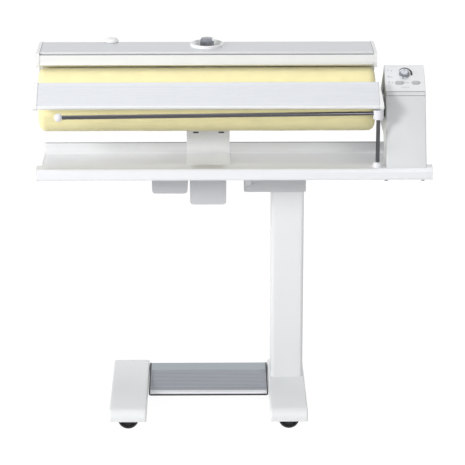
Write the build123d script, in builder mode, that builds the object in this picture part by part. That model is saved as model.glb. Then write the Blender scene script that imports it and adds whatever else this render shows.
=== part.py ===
from build123d import *
from math import cos, radians, sin, tan
import os

# Cantilever rotary ironer on a folding stand, in millimetres.
# +X to the right of the person ironing, +Y away from them, +Z up.
# The origin is on the floor, under the middle of the overall width and depth.

# ---- stand ----
wheel_d = 52
wheel_w = 22
wheel_inset = 40          # from a foot's end to the wheel's axle
axle_d = 8
foot_l = 380
foot_w = 94
foot_h = 30.5
foot_gap = 31             # floor to the underside of a foot
foot_nose_r = 22
foot_wall = 3
sole_t = 3
left_foot_x = -269
right_foot_x = 141
col_w = 84
col_d = 100
col_h = 509.5
col_y = 92
col_r = 9
col_wall = 2.5
col_floor_t = 6
beam_d = 20
beam_h = 35
beam_y = 174
beam_wall = 2.5

# ---- treadle ----
rod_d = 8
rod_to_beam = 12          # hinge axis to the front of the cross beam
treadle_tilt = 5.2        # degrees, the front lies lower
treadle_l = 156           # hinge axis to the nose
treadle_tail = 7          # plate behind the hinge axis
treadle_t = 3
treadle_rise = 13         # hinge axis to the plate's top
treadle_side_gap = 2
treadle_end_t = 3.5
tread_pitch = 8
tread_ribs = 13
tread_rib_h = 1.2
tread_rib_w = 3
nose_d = 14
lug_t = 4
lug_r = 8
switch_w = 30
switch_d = 44
switch_h = 20
plunger_d = 6
plunger_reach = 24        # plunger's distance from the hinge axis

# ---- fold joint ----
fold_x = 39
fold_pin_d = 10
pin_head_t = 3
bracket_l = 159
bracket_t = 4
bracket_h = 65
bracket_edge = 11         # pin's axis to the bracket's free end
web_start = 25            # pin's axis to the web
fold_rise = 26            # column's top to the pin's axis
pad_l = 30
pad_w = 64

# ---- head carrier and tray ----
carrier_w = 99
carrier_h = 38
carrier_wall = 3
carrier_left = -466
carrier_right = 474
carrier_drop = 6          # pin's axis to the carrier's underside
tray_left = -487
tray_right = 492.5
tray_t = 2
tray_end_t = 4
tray_front = -150
tray_beam_d = 48
tray_beam_h = 30
tray_beam_rise = 12       # trough floor to the front beam's underside
tray_back = 155
tray_wall_h = 29
tray_flat_front = -20     # where the flat trough floor starts
tray_bend_r = 12

# ---- ironing roller ----
roller_r = 80.5
roller_left = -487.5
roller_right = 357.7
roller_round = 17
cloth_t = 1.2
padding_t = 13
tube_wall = 2.5
laundry_room = 103        # trough floor to the roller's underside
shaft_d = 25
shaft_end = 432
disc_t = 5
disc_inset = 14

# ---- heating shoe and hood ----
lift_deg = 3              # the shoe stands this far open at rest
shoe_gap = 0.8            # shoe to cloth when pressed
shoe_t = 6
shoe_front_deg = 106
shoe_back_deg = -25
hood_left = -489.5
hood_right = 358.7
hood_end_t = 8
hood_t = 2
hood_room = 25.5          # shoe's crown to the hood's top
hood_front = -14
hood_flat_back = 122
hood_back = 130
hood_tail_drop = 46       # shoe's centre to where the back turns in
hood_foot_drop = 84       # shoe's centre to the hood's lowest edge
guard_h = 21
guard_t = 5
bowl_x = -65
bowl_y = 71
bowl_d = 85
bowl_rise = 7             # the rim stands this far over the hood
bowl_depth = 12
neck_d = 30
neck_bore = 22
cap_d = 35
cap_h = 19
vent_x = -307
vent_y = 112
vent_d = 36
vent_h = 10.6
rod_heater_d = 8
tank_l = 420
tank_t = 2.5
tank_front = 30
tank_room = 14            # inside the hood's back to the tank
tank_low_y = 76
tank_low_over = 81        # shoe's centre to the tank's lowest front corner

# ---- pressure arm ----
arm_x = -63
arm_w = 84
arm_t = 6
arm_pin_d = 12
arm_pin_back = 19.5       # carrier's back to the arm pin
arm_pin_rise = 9          # carrier's underside to the arm pin
arm_out = 27              # arm's rear face behind the pin

# ---- drive casing ----
case_left = 377.5
case_right = 477
case_t = 2.5
case_foot_front = -141
case_foot_back = -54
panel_low_y = -65.7
panel_low_rise = 33.9     # roller's axis to the panel's lower edge
lip_l = 10.5              # panel's lower edge to the seam across the front
seam_w = 1
panel_top_y = 0
case_top_rise = 85.5      # roller's axis to the top
case_back = 130
shoulder_drop = 28.5      # roller's axis to where the back turns down
shoulder_r = 30
case_under_drop = 86      # roller's axis to the underside at the back
panel_t = 3
pedestal_left = 393
plate_x = 396
plate_t = 5
gear_x = 418
gear_t = 12
gear_module = 1.75
gear_teeth = 52
pinion_teeth = 16
gear_deg = -46.7          # from the roller's axis to the pinion's
gearbox_w = 36
gearbox_s = 50
motor_d = 42
motor_l = 92
dial_x = 426.5
dial_up = 54              # along the panel from its lower edge
dial_d = 27
dial_h = 10.5
button_l = 21
button_w = 11
button_up = 27.5
button_xs = (412.8, 453.9)
button_out = 2.4
button_gap = 0.3
board_gap = 14

# ---- feeder table ----
feeder_left = -492.5
feeder_right = 368.7
feeder_top = (-74, 61.5)      # y, and height over the roller's axis
feeder_low = (-139, 13.5)
feeder_t = 12
feeder_wall = 1.8
feeder_end_t = 10
feeder_rib_pitch = 5
feeder_ribs = 12
feeder_bead = 9
bush_d = 20
bush_y = -60
bush_drop = 22            # below the roller's axis

# ---- laundry rail ----
rail_d = 10
rail_x = 356
rail_y = -127
rail_swing = 2.5          # degrees swung out at rest
rail_l = 785
rail_drop = 5.5           # rail's axis below the roller's axis
ball_d = 20
rail_bend_r = 9
elbow_d = 26
elbow_h = 24
cone_low_d = 28
cone_top_d = 17
cone_h = 12

# ---- covers and lift drive below the tray ----
arm_cover_l = 111.5
arm_cover_x = -62.8
arm_cover_t = 2
arm_cover_front = -8
arm_cover_rise = 48
arm_flange_h = 15         # the flange over the tray's back wall
arm_flange_lean = 4
lift_box = (-109.6, -17)
lift_box_drop = 50.5      # fold pin's axis to its underside
motor_box = (-206, -115.6)
motor_box_drop = 21
box_front = 8
box_t = 2
lift_motor_d = 26
lift_motor_l = 76

run = 0.05                # radial running clearance of a pin in its bore
touch = 0.3               # curved faces of different pieces stay this far apart

# ---- heights and places that follow ----
foot_top = foot_gap + foot_h
col_top = foot_top + col_h
foot_in_left = left_foot_x + foot_w / 2
foot_in_right = right_foot_x - foot_w / 2
fold_z = col_top + fold_rise
carrier_low = fold_z + carrier_drop
carrier_top = carrier_low + carrier_h
carrier_front = col_y - carrier_w / 2
carrier_back = col_y + carrier_w / 2
floor_top = carrier_top + tray_t
beam_low = floor_top + tray_beam_rise
beam_top = beam_low + tray_beam_h
axis_z = floor_top + laundry_room + roller_r
pin_y = carrier_back + arm_pin_back
pin_z = carrier_low + arm_pin_rise
arm_turn = radians(lift_deg)
shoe_r = roller_r + shoe_gap
shoe_y = pin_y - pin_y * cos(arm_turn) + (axis_z - pin_z) * sin(arm_turn)
shoe_z = pin_z + pin_y * sin(arm_turn) + (axis_z - pin_z) * cos(arm_turn)
hood_top = shoe_z + shoe_r + shoe_t + hood_room
panel_low_z = axis_z + panel_low_rise
case_top = axis_z + case_top_rise
panel_rise = case_top - panel_low_z
panel_run = panel_top_y - panel_low_y
panel_l = (panel_run ** 2 + panel_rise ** 2) ** 0.5
gear_r = gear_module * gear_teeth / 2
pinion_r = gear_module * pinion_teeth / 2
gear_dist = gear_r + pinion_r
pinion_y = gear_dist * cos(radians(gear_deg))
pinion_z = axis_z + gear_dist * sin(radians(gear_deg))
rail_z = axis_z - rail_drop
hinge_y = beam_y - beam_d / 2 - rod_to_beam
hinge_z = foot_top - 17.5

os.makedirs("parts", exist_ok=True)


def side(x, y=0.0, z=0.0):
    """A sketch plane across the width: its x runs along +Y and its y along +Z."""
    return Plane(origin=(x, y, z), x_dir=(0, 1, 0), z_dir=(1, 0, 0))


def panel_plane(up, out=0.0, x=0.0):
    """A plane on the sloping panel, `up` from its lower edge and `out` from its face."""
    dy, dz = panel_run / panel_l, panel_rise / panel_l
    origin = (x, panel_low_y + up * dy - out * dz, panel_low_z + up * dz + out * dy)
    return Plane(origin=origin, x_dir=(1, 0, 0), z_dir=(0, -dz, dy))


# ================= stand =================

def make_foot(x):
    with BuildPart() as foot:
        with BuildSketch(side(x - foot_w / 2)):
            with Locations((0, foot_gap + foot_h / 2)):
                Rectangle(foot_l, foot_h)
        extrude(amount=foot_w)
        top = foot.edges().filter_by(Axis.X).group_by(Axis.Z)[-1]
        fillet(top, foot_nose_r)
        fillet(foot.edges().filter_by(Axis.Z), 4)
        under = foot.faces().sort_by(Axis.Z)[0]
        offset(amount=-foot_wall, openings=under)
    return foot


left_foot = make_foot(left_foot_x)
left_foot.part.label = "left_foot"
export_step(left_foot.part, "parts/left_foot.step")

right_foot = make_foot(right_foot_x)
right_foot.part.label = "right_foot"
export_step(right_foot.part, "parts/right_foot.step")

# sole plates close the feet from below, with a window for each wheel
wheel_y = foot_l / 2 - wheel_inset
window_l = wheel_d + 10
window_w = wheel_w + 16
with BuildPart() as foot_soles:
    with BuildSketch(Plane.XY.offset(foot_gap)):
        with Locations((left_foot_x, 0), (right_foot_x, 0)):
            RectangleRounded(foot_w - 2 * foot_wall, foot_l - 2 * foot_wall, 1.2)
        with Locations((left_foot_x, 0), (right_foot_x, 0)):
            with GridLocations(1, 2 * wheel_y, 1, 2):
                Rectangle(window_l, window_w, mode=Mode.SUBTRACT)
    extrude(amount=sole_t)
foot_soles.part.label = "foot_soles"
export_step(foot_soles.part, "parts/foot_soles.step")

# a fork and an axle in each end of each foot
fork_cheek = 3
fork_top = foot_top - foot_wall
axle_z = wheel_d / 2
cheek_y = wheel_w / 2 + 1.5
wheel_places = {
    "wheel_front_left": (left_foot_x, -wheel_y),
    "wheel_front_right": (right_foot_x, -wheel_y),
    "wheel_rear_left": (left_foot_x, wheel_y),
    "wheel_rear_right": (right_foot_x, wheel_y),
}
with BuildPart() as wheel_mounts:
    for wx, wy in wheel_places.values():
        cross = Plane(origin=(wx, wy - cheek_y, 0), x_dir=(1, 0, 0), z_dir=(0, -1, 0))
        far = Plane(origin=(wx, wy + cheek_y + fork_cheek, 0), x_dir=(1, 0, 0), z_dir=(0, -1, 0))
        with BuildSketch(cross, far):
            with Locations((0, axle_z)):
                Circle(9)
            with Locations((0, (axle_z + fork_top) / 2)):
                Rectangle(18, fork_top - axle_z)
            with Locations((0, axle_z)):
                Circle(axle_d / 2, mode=Mode.SUBTRACT)
        extrude(amount=fork_cheek)
        with BuildSketch(Plane.XY.offset(fork_top - 2.5)):
            with Locations((wx, wy)):
                Rectangle(40, 2 * (cheek_y + fork_cheek))
        extrude(amount=2.5)
        ends = Plane(origin=(wx, wy + cheek_y + fork_cheek + 1, axle_z), x_dir=(1, 0, 0), z_dir=(0, -1, 0))
        with BuildSketch(ends):
            Circle(axle_d / 2)
        extrude(amount=2 * (cheek_y + fork_cheek + 1))
wheel_mounts.part.label = "wheel_mounts"
export_step(wheel_mounts.part, "parts/wheel_mounts.step")

for wheel_name, (wx, wy) in wheel_places.items():
    with BuildPart() as wheel:
        # half section of a wheel with a rounded tread and recessed sides, turned about the axle
        with BuildSketch(Plane(origin=(wx, wy, axle_z), x_dir=(1, 0, 0), z_dir=(0, 0, 1))):
            with BuildLine():
                Polyline(
                    (axle_d / 2 + run, -wheel_w / 2),
                    (9, -wheel_w / 2),
                    (10, -wheel_w / 2 + 4),
                    (19, -wheel_w / 2 + 4),
                    (20, -wheel_w / 2),
                    (wheel_d / 2, -wheel_w / 2),
                    (wheel_d / 2, wheel_w / 2),
                    (20, wheel_w / 2),
                    (19, wheel_w / 2 - 4),
                    (10, wheel_w / 2 - 4),
                    (9, wheel_w / 2),
                    (axle_d / 2 + run, wheel_w / 2),
                    close=True,
                )
            make_face()
        turn = Axis((wx, wy, axle_z), (0, 1, 0))
        revolve(axis=turn)
        rims = wheel.edges().filter_by(GeomType.CIRCLE).sort_by(lambda e: -e.radius)[0:2]
        fillet(rims, 4)
    wheel.part.label = wheel_name
    export_step(wheel.part, f"parts/{wheel_name}.step")

with BuildPart() as column:
    with BuildSketch(Plane.XY.offset(foot_top)):
        with Locations((right_foot_x, col_y)):
            RectangleRounded(col_w, col_d, col_r)
    extrude(amount=col_h)
    with BuildSketch(Plane.XY.offset(foot_top + col_floor_t)):
        with Locations((right_foot_x, col_y)):
            RectangleRounded(col_w - 2 * col_wall, col_d - 2 * col_wall, col_r - col_wall)
    extrude(amount=col_h - col_floor_t, mode=Mode.SUBTRACT)
column.part.label = "column"
export_step(column.part, "parts/column.step")

# ================= treadle =================

lug_xs = (foot_in_left + 40, (foot_in_left + foot_in_right) / 2, foot_in_right - 40)
beam_top_z = hinge_z + 3
with BuildPart() as cross_beam:
    with BuildSketch(side(foot_in_left)):
        with Locations((beam_y, beam_top_z - beam_h / 2)):
            RectangleRounded(beam_d, beam_h, 4)
            RectangleRounded(beam_d - 2 * beam_wall, beam_h - 2 * beam_wall, 1.5, mode=Mode.SUBTRACT)
    extrude(amount=foot_in_right - foot_in_left)
    for lug_x in lug_xs:
        with BuildSketch(side(lug_x - lug_t / 2)):
            with Locations((hinge_y, hinge_z)):
                Circle(lug_r)
            with Locations((hinge_y + rod_to_beam / 2, hinge_z - lug_r / 2)):
                Rectangle(rod_to_beam, lug_r)
            with Locations((hinge_y, hinge_z)):
                Circle(rod_d / 2 + run, mode=Mode.SUBTRACT)
        extrude(amount=lug_t)
cross_beam.part.label = "cross_beam"
export_step(cross_beam.part, "parts/cross_beam.step")

with BuildPart() as treadle_rod:
    with BuildSketch(side(foot_in_left, hinge_y, hinge_z)):
        Circle(rod_d / 2)
    extrude(amount=foot_in_right - foot_in_left)
treadle_rod.part.label = "treadle_rod"
export_step(treadle_rod.part, "parts/treadle_rod.step")

# the treadle's own plane: x runs from the hinge towards the nose, y is square to the plate
tilt = radians(treadle_tilt)


def treadle_plane(x):
    return Plane(origin=(x, hinge_y, hinge_z), x_dir=(0, -cos(tilt), -sin(tilt)), z_dir=(-1, 0, 0))


treadle_low_x = foot_in_left + treadle_side_gap
treadle_high_x = foot_in_right - treadle_side_gap
plate_low = treadle_rise - treadle_t
with BuildPart() as treadle:
    with BuildSketch(treadle_plane(treadle_high_x - treadle_end_t)):
        with Locations(((treadle_l - treadle_tail) / 2, treadle_rise - treadle_t / 2)):
            Rectangle(treadle_l + treadle_tail, treadle_t)
        # the bright rounded nose, and a toe that turns in under it
        with Locations((treadle_l, treadle_rise - nose_d / 2)):
            Circle(nose_d / 2)
        # long low ribs under the sole of the foot
        for rib in range(tread_ribs):
            with Locations((treadle_l - 22 - rib * tread_pitch, treadle_rise + tread_rib_h / 2)):
                Trapezoid(tread_rib_w, tread_rib_h, 60)
        # stiffening webs below
        for web in (30, 70, 110):
            with Locations((web, plate_low - 2.5)):
                Rectangle(2, 5)
        # barrel round the rod
        Circle(lug_r - 1)
        with Locations((0, plate_low / 2)):
            Rectangle(8, plate_low)
        Circle(rod_d / 2 + run, mode=Mode.SUBTRACT)
    extrude(amount=treadle_high_x - treadle_low_x - 2 * treadle_end_t)
    # the barrel is cut away round the lugs
    for lug_x in lug_xs:
        with BuildSketch(treadle_plane(lug_x + lug_t / 2 + 1)):
            Circle(lug_r + 1)
            with Locations((-lug_r / 2, 0)):
                Rectangle(lug_r + 8, 2 * plate_low - 1)
        extrude(amount=lug_t + 2, mode=Mode.SUBTRACT)
treadle.part.label = "treadle"
export_step(treadle.part, "parts/treadle.step")

with BuildPart() as treadle_ends:
    for start_x in (treadle_high_x, treadle_low_x + treadle_end_t):
        with BuildSketch(treadle_plane(start_x)):
            with BuildLine():
                Polyline(
                    (-treadle_tail, treadle_rise + 1),
                    (treadle_l, treadle_rise + 1),
                    (treadle_l + nose_d / 2, treadle_rise - nose_d / 2),
                    (treadle_l, treadle_rise - nose_d),
                    (10, 3),
                    (-treadle_tail, treadle_rise - 6),
                    close=True,
                )
            make_face()
            Circle(rod_d / 2 + 2, mode=Mode.SUBTRACT)
        extrude(amount=treadle_end_t)
treadle_ends.part.label = "treadle_ends"
export_step(treadle_ends.part, "parts/treadle_ends.step")

# foot switch on the beam, with its plunger under the plate
switch_x = (lug_xs[0] + lug_xs[1]) / 2
switch_top = hinge_z - 3
plunger_y = hinge_y - plunger_reach
beam_front = beam_y - beam_d / 2
with BuildPart() as pedal_switch:
    with BuildSketch(Plane.XY.offset(switch_top - switch_h)):
        with Locations((switch_x, beam_front - switch_d / 2)):
            RectangleRounded(switch_w, switch_d, 2)
    extrude(amount=switch_h)
    with BuildSketch(side(switch_x - switch_w / 2, hinge_y, hinge_z)):
        Circle(lug_r)
    extrude(amount=switch_w, mode=Mode.SUBTRACT)
    with BuildSketch(Plane.XY.offset(switch_top - 12)):
        with Locations((switch_x, plunger_y)):
            Circle(plunger_d / 2 + run)
    extrude(amount=12, mode=Mode.SUBTRACT)
pedal_switch.part.label = "pedal_switch"
export_step(pedal_switch.part, "parts/pedal_switch.step")

plunger_top = hinge_z + plate_low / cos(tilt) - plunger_reach * tan(tilt) - touch
with BuildPart() as switch_plunger:
    with BuildSketch(Plane.XY.offset(switch_top - 9)):
        with Locations((switch_x, plunger_y)):
            Circle(plunger_d / 2)
    extrude(amount=plunger_top - switch_top + 9)
    fillet(switch_plunger.edges().sort_by(Axis.Z)[-1], 1.5)
switch_plunger.part.label = "switch_plunger"
export_step(switch_plunger.part, "parts/switch_plunger.step")

# ================= fold joint =================

bracket_left = fold_x - bracket_edge
bracket_right = bracket_left + bracket_l
cheek_in = col_d / 2 + 2          # from the column's middle to a cheek's inner face
with BuildPart() as fold_bracket:
    for cheek_back in (col_y - cheek_in, col_y + cheek_in + bracket_t):
        face = Plane(origin=(0, cheek_back, 0), x_dir=(1, 0, 0), z_dir=(0, -1, 0))
        with BuildSketch(face):
            with Locations(((bracket_left + bracket_right) / 2, col_top + bracket_h / 2)):
                RectangleRounded(bracket_l, bracket_h, 5)
            with Locations((fold_x, fold_z)):
                Circle(fold_pin_d / 2 + run, mode=Mode.SUBTRACT)
        extrude(amount=bracket_t)
    with BuildSketch(Plane.XY.offset(col_top)):
        with Locations(((fold_x + web_start + bracket_right) / 2, col_y)):
            Rectangle(bracket_right - fold_x - web_start, 2 * cheek_in)
    extrude(amount=bracket_t)
fold_bracket.part.label = "fold_bracket"
export_step(fold_bracket.part, "parts/fold_bracket.step")

cheek_out = cheek_in + bracket_t
with BuildPart() as fold_pin:
    pin_back = Plane(origin=(fold_x, col_y + cheek_out + pin_head_t, fold_z), x_dir=(1, 0, 0), z_dir=(0, -1, 0))
    with BuildSketch(pin_back):
        Circle(fold_pin_d / 2)
    extrude(amount=2 * (cheek_out + pin_head_t))
    head_front = Plane(origin=(fold_x, col_y - cheek_out, fold_z), x_dir=(1, 0, 0), z_dir=(0, -1, 0))
    with BuildSketch(pin_back, head_front):
        Circle(fold_pin_d / 2 + 4)
    extrude(amount=pin_head_t)
fold_pin.part.label = "fold_pin"
export_step(fold_pin.part, "parts/fold_pin.step")

with BuildPart() as stop_pad:
    with BuildSketch(Plane.XY.offset(col_top + bracket_t)):
        with Locations((bracket_right - pad_l / 2 - 6, col_y)):
            RectangleRounded(pad_l, pad_w, 4)
    extrude(amount=carrier_low - col_top - bracket_t)
stop_pad.part.label = "stop_pad"
export_step(stop_pad.part, "parts/stop_pad.step")

# ================= head carrier =================

fold_lug_t = 6
fold_lug_r = 10
ear_t = 5
ear_gap = 1
ear_in = arm_w / 2 + ear_gap
with BuildPart() as carrier:
    with BuildSketch(side(carrier_left)):
        with Locations((col_y, carrier_low + carrier_h / 2)):
            RectangleRounded(carrier_w, carrier_h, 4)
            RectangleRounded(carrier_w - 2 * carrier_wall, carrier_h - 2 * carrier_wall, 1.5, mode=Mode.SUBTRACT)
    extrude(amount=carrier_right - carrier_left)
    # welded lugs for the fold pin, just inside the bracket's cheeks
    for lug_back in (carrier_front + fold_lug_t, carrier_back):
        face = Plane(origin=(fold_x, lug_back, fold_z), x_dir=(1, 0, 0), z_dir=(0, -1, 0))
        with BuildSketch(face):
            Circle(fold_lug_r)
            with Locations((0, (carrier_drop + carrier_wall) / 2)):
                Rectangle(2 * fold_lug_r, carrier_drop + carrier_wall)
            Circle(fold_pin_d / 2 + run, mode=Mode.SUBTRACT)
        extrude(amount=fold_lug_t)
    # welded ears at the back for the pressure arm's pin
    for ear_x in (arm_x - ear_in - ear_t, arm_x + ear_in):
        with BuildSketch(side(ear_x)):
            with Locations((pin_y, pin_z)):
                Circle(12)
            with Locations(((carrier_back + pin_y) / 2, pin_z)):
                Rectangle(pin_y - carrier_back, 24)
            with Locations(((carrier_back + pin_y) / 2, carrier_low - 4)):
                Rectangle(pin_y - carrier_back + 30, 8, mode=Mode.SUBTRACT)
            with Locations((pin_y, pin_z)):
                Circle(arm_pin_d / 2, mode=Mode.SUBTRACT)
        extrude(amount=ear_t)
carrier.part.label = "carrier"
export_step(carrier.part, "parts/carrier.step")

# ================= tray =================

beam_back = tray_front + tray_beam_d


def tray_outline(x):
    """The tray's section: a front beam, a sloping apron, a flat trough and a back wall."""
    back_in = tray_back - tray_t
    with BuildSketch(side(x)) as outline:
        with BuildLine():
            Polyline(
                (beam_back - 3, beam_low + tray_t),
                (tray_flat_front, floor_top),
                (back_in, floor_top),
                (back_in, floor_top + tray_wall_h),
                (tray_back, floor_top + tray_wall_h),
                (tray_back, floor_top - tray_t),
                (tray_flat_front, floor_top - tray_t),
                (beam_back - 3, beam_low),
                close=True,
            )
        make_face()
        low = outline.vertices().filter_by_position(Axis.Y, floor_top - tray_t - 0.1, floor_top + 0.1)
        corner_in = low.filter_by_position(Axis.X, back_in - 0.1, back_in + 0.1)
        fillet(corner_in, tray_bend_r - tray_t)
        low = outline.vertices().filter_by_position(Axis.Y, floor_top - tray_t - 0.1, floor_top + 0.1)
        corner_out = low.filter_by_position(Axis.X, tray_back - 0.1, tray_back + 0.1)
        fillet(corner_out, tray_bend_r)
        with Locations((beam_mid_y, beam_mid_z)):
            RectangleRounded(tray_beam_d, tray_beam_h, 8)
    return outline.sketch


beam_mid_y = (tray_front + beam_back) / 2
beam_mid_z = beam_low + tray_beam_h / 2
with BuildPart() as tray:
    extrude(tray_outline(tray_left + tray_end_t), amount=tray_right - tray_left - 2 * tray_end_t)
    with BuildSketch(side(tray_left + tray_end_t)):
        with Locations((beam_mid_y, beam_mid_z)):
            RectangleRounded(tray_beam_d - 2 * tray_t, tray_beam_h - 2 * tray_t, 6)
    extrude(amount=tray_right - tray_left - 2 * tray_end_t, mode=Mode.SUBTRACT)
tray.part.label = "tray"
export_step(tray.part, "parts/tray.step")

with BuildPart() as tray_ends:
    extrude(tray_outline(tray_left), amount=tray_end_t)
    extrude(tray_outline(tray_right - tray_end_t), amount=tray_end_t)
tray_ends.part.label = "tray_ends"
export_step(tray_ends.part, "parts/tray_ends.step")

# ================= ironing roller =================

roller_l = roller_right - roller_left
roller_mid = (roller_left + roller_right) / 2
tube_r = roller_r - cloth_t - padding_t
tube_inset = 8
tuck_r = 50               # the cloth is drawn in over the ends as far as this radius
roller_axis = Axis((0, 0, axis_z), (1, 0, 0))
radial = Plane(origin=(0, 0, axis_z), x_dir=(1, 0, 0), z_dir=(0, -1, 0))

with BuildPart() as roller_cloth:
    with BuildSketch(radial):
        with Locations((roller_mid, 0)):
            RectangleRounded(roller_l, 2 * roller_r, roller_round)
            RectangleRounded(roller_l - 2 * cloth_t, 2 * (roller_r - cloth_t), roller_round - cloth_t, mode=Mode.SUBTRACT)
            Rectangle(roller_l, 2 * tuck_r, mode=Mode.SUBTRACT)
        with Locations((roller_mid, -roller_r)):
            Rectangle(roller_l, 2 * roller_r, mode=Mode.SUBTRACT)
    revolve(axis=roller_axis)
roller_cloth.part.label = "roller_cloth"
export_step(roller_cloth.part, "parts/roller_cloth.step")

with BuildPart() as roller_padding:
    with BuildSketch(radial):
        with Locations((roller_mid, 0)):
            RectangleRounded(roller_l - 2 * cloth_t, 2 * (roller_r - cloth_t), roller_round - cloth_t)
            Rectangle(roller_l, 2 * tube_r, mode=Mode.SUBTRACT)
        with Locations((roller_mid, -roller_r)):
            Rectangle(roller_l, 2 * roller_r, mode=Mode.SUBTRACT)
    revolve(axis=roller_axis)
roller_padding.part.label = "roller_padding"
export_step(roller_padding.part, "parts/roller_padding.step")

with BuildPart() as roller_tube:
    with BuildSketch(side(roller_left + tube_inset, 0, axis_z)):
        Circle(tube_r)
        Circle(tube_r - tube_wall, mode=Mode.SUBTRACT)
    extrude(amount=roller_l - 2 * tube_inset)
roller_tube.part.label = "roller_tube"
export_step(roller_tube.part, "parts/roller_tube.step")

# three discs carry the tube: one closes its free end and two sit on the shaft
shaft_start = 58
disc_xs = (roller_left + disc_inset, shaft_start + 10, roller_right - disc_inset - disc_t)
with BuildPart() as roller_discs:
    for disc_x in disc_xs:
        with BuildSketch(side(disc_x, 0, axis_z)):
            Circle(tube_r - tube_wall)
            if disc_x > shaft_start:
                Circle(shaft_d / 2, mode=Mode.SUBTRACT)
        extrude(amount=disc_t)
    with BuildSketch(side(disc_xs[1] - 8, 0, axis_z), side(disc_xs[2] - 12, 0, axis_z)):
        Circle(shaft_d / 2 + 8)
        Circle(shaft_d / 2, mode=Mode.SUBTRACT)
    extrude(amount=12)
roller_discs.part.label = "roller_discs"
export_step(roller_discs.part, "parts/roller_discs.step")

with BuildPart() as roller_shaft:
    with BuildSketch(side(shaft_start, 0, axis_z)):
        Circle(shaft_d / 2)
    extrude(amount=shaft_end - shaft_start)
    chamfer(roller_shaft.edges().filter_by(GeomType.CIRCLE), 1)
roller_shaft.part.label = "roller_shaft"
export_step(roller_shaft.part, "parts/roller_shaft.step")


# ================= drive =================

def make_gear(x, y, z, teeth, bore_r, phase):
    """A spur gear with straight-flanked teeth; a tooth stands at the phase angle."""
    pitch_r = gear_module * teeth / 2
    root_r = pitch_r - 1.25 * gear_module
    tip_r = pitch_r + 0.95 * gear_module
    low_half = gear_module * 0.98
    tip_half = gear_module * 0.36
    with BuildPart() as gear:
        with BuildSketch(side(x, y, z)):
            Circle(root_r + 0.2)
            with PolarLocations(root_r, teeth, start_angle=phase):
                Polygon(
                    (0, -low_half),
                    (tip_r - root_r, -tip_half),
                    (tip_r - root_r, tip_half),
                    (0, low_half),
                    align=None,
                )
            Circle(bore_r, mode=Mode.SUBTRACT)
        extrude(amount=gear_t)
    return gear


roller_gear = make_gear(gear_x, 0, axis_z, gear_teeth, shaft_d / 2, gear_deg)
roller_gear.part.label = "roller_gear"
export_step(roller_gear.part, "parts/roller_gear.step")

# the pinion turns with half a tooth's lead, so that a gap meets the gear's tooth
pinion_bore = 5
motor_pinion = make_gear(
    gear_x, pinion_y, pinion_z, pinion_teeth, pinion_bore, gear_deg + 180 + 180 / pinion_teeth
)
motor_pinion.part.label = "motor_pinion"
export_step(motor_pinion.part, "parts/motor_pinion.step")

# steel plate that carries the roller's bearing and the drive, with stand-offs for the gearbox
pedestal_front = case_foot_back + 46
pedestal_back = case_back - 2
frame_low_front = pedestal_front + case_t + 1
frame_low_back = pedestal_back - case_t - 1
sleeve_r = shaft_d / 2 + 9.5
gearbox_left = gear_x + gear_t + 2
plate_right = plate_x + plate_t
standoff_places = ((22, -20), (-21, -20), (22, 19))
with BuildPart() as side_frame:
    with BuildSketch(side(plate_x)):
        with BuildLine():
            Polyline(
                (frame_low_front, floor_top),
                (frame_low_back, floor_top),
                (frame_low_back, axis_z - case_under_drop),
                (case_back - 15, axis_z - case_under_drop + 20),
                (case_back - 15, axis_z - shoulder_drop - 12),
                (12, case_top - 25),
                (-2, case_top - 25),
                (-44, axis_z + 18),
                (-44, axis_z - 40),
                (frame_low_front, axis_z - case_under_drop + 6),
                close=True,
            )
        make_face()
        with Locations((0, axis_z)):
            Circle(sleeve_r, mode=Mode.SUBTRACT)
    extrude(amount=plate_t)
    with BuildSketch(Plane.XY.offset(floor_top)):
        with Locations(((plate_x + case_right - 10) / 2, (frame_low_front + frame_low_back) / 2)):
            Rectangle(case_right - 10 - plate_x, frame_low_back - frame_low_front)
    extrude(amount=4)
    with BuildSketch(side(plate_right)):
        for dy, dz in standoff_places:
            with Locations((pinion_y + dy, pinion_z + dz)):
                Circle(4.5)
    extrude(amount=gearbox_left - plate_right)
side_frame.part.label = "side_frame"
export_step(side_frame.part, "parts/side_frame.step")

with BuildPart() as bearing_housing:
    with BuildSketch(side(plate_x - 8, 0, axis_z)):
        Circle(sleeve_r + 12)
        Circle(shaft_d / 2 + run, mode=Mode.SUBTRACT)
        with PolarLocations(sleeve_r + 6.5, 4, start_angle=45):
            Circle(2.2, mode=Mode.SUBTRACT)
    extrude(amount=8)
    with BuildSketch(side(plate_x, 0, axis_z)):
        Circle(sleeve_r)
        Circle(shaft_d / 2 + run, mode=Mode.SUBTRACT)
    extrude(amount=gear_x - 3 - plate_x)
bearing_housing.part.label = "bearing_housing"
export_step(bearing_housing.part, "parts/bearing_housing.step")

# worm gearbox with its motor hanging down into the pedestal
with BuildPart() as gearbox:
    with BuildSketch(side(gearbox_left, pinion_y, pinion_z)):
        RectangleRounded(gearbox_s, gearbox_s, 5)
    extrude(amount=gearbox_w)
    fillet(gearbox.faces().sort_by(Axis.X)[-1].edges(), 3)
    with BuildSketch(side(gear_x - 1, pinion_y, pinion_z)):
        Circle(pinion_bore - run)
    extrude(amount=gearbox_left - gear_x + 1)
gearbox.part.label = "gearbox"
export_step(gearbox.part, "parts/gearbox.step")

gearbox_low = pinion_z - gearbox_s / 2
with BuildPart() as drive_motor:
    with BuildSketch(Plane.XY.offset(gearbox_low - motor_l)):
        with Locations((gearbox_left + gearbox_w / 2 - 1, pinion_y)):
            Circle(motor_d / 2)
    extrude(amount=motor_l)
    chamfer(drive_motor.edges().sort_by(Axis.Z)[0], 3)
drive_motor.part.label = "drive_motor"
export_step(drive_motor.part, "parts/drive_motor.step")

# ================= drive casing =================

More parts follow.
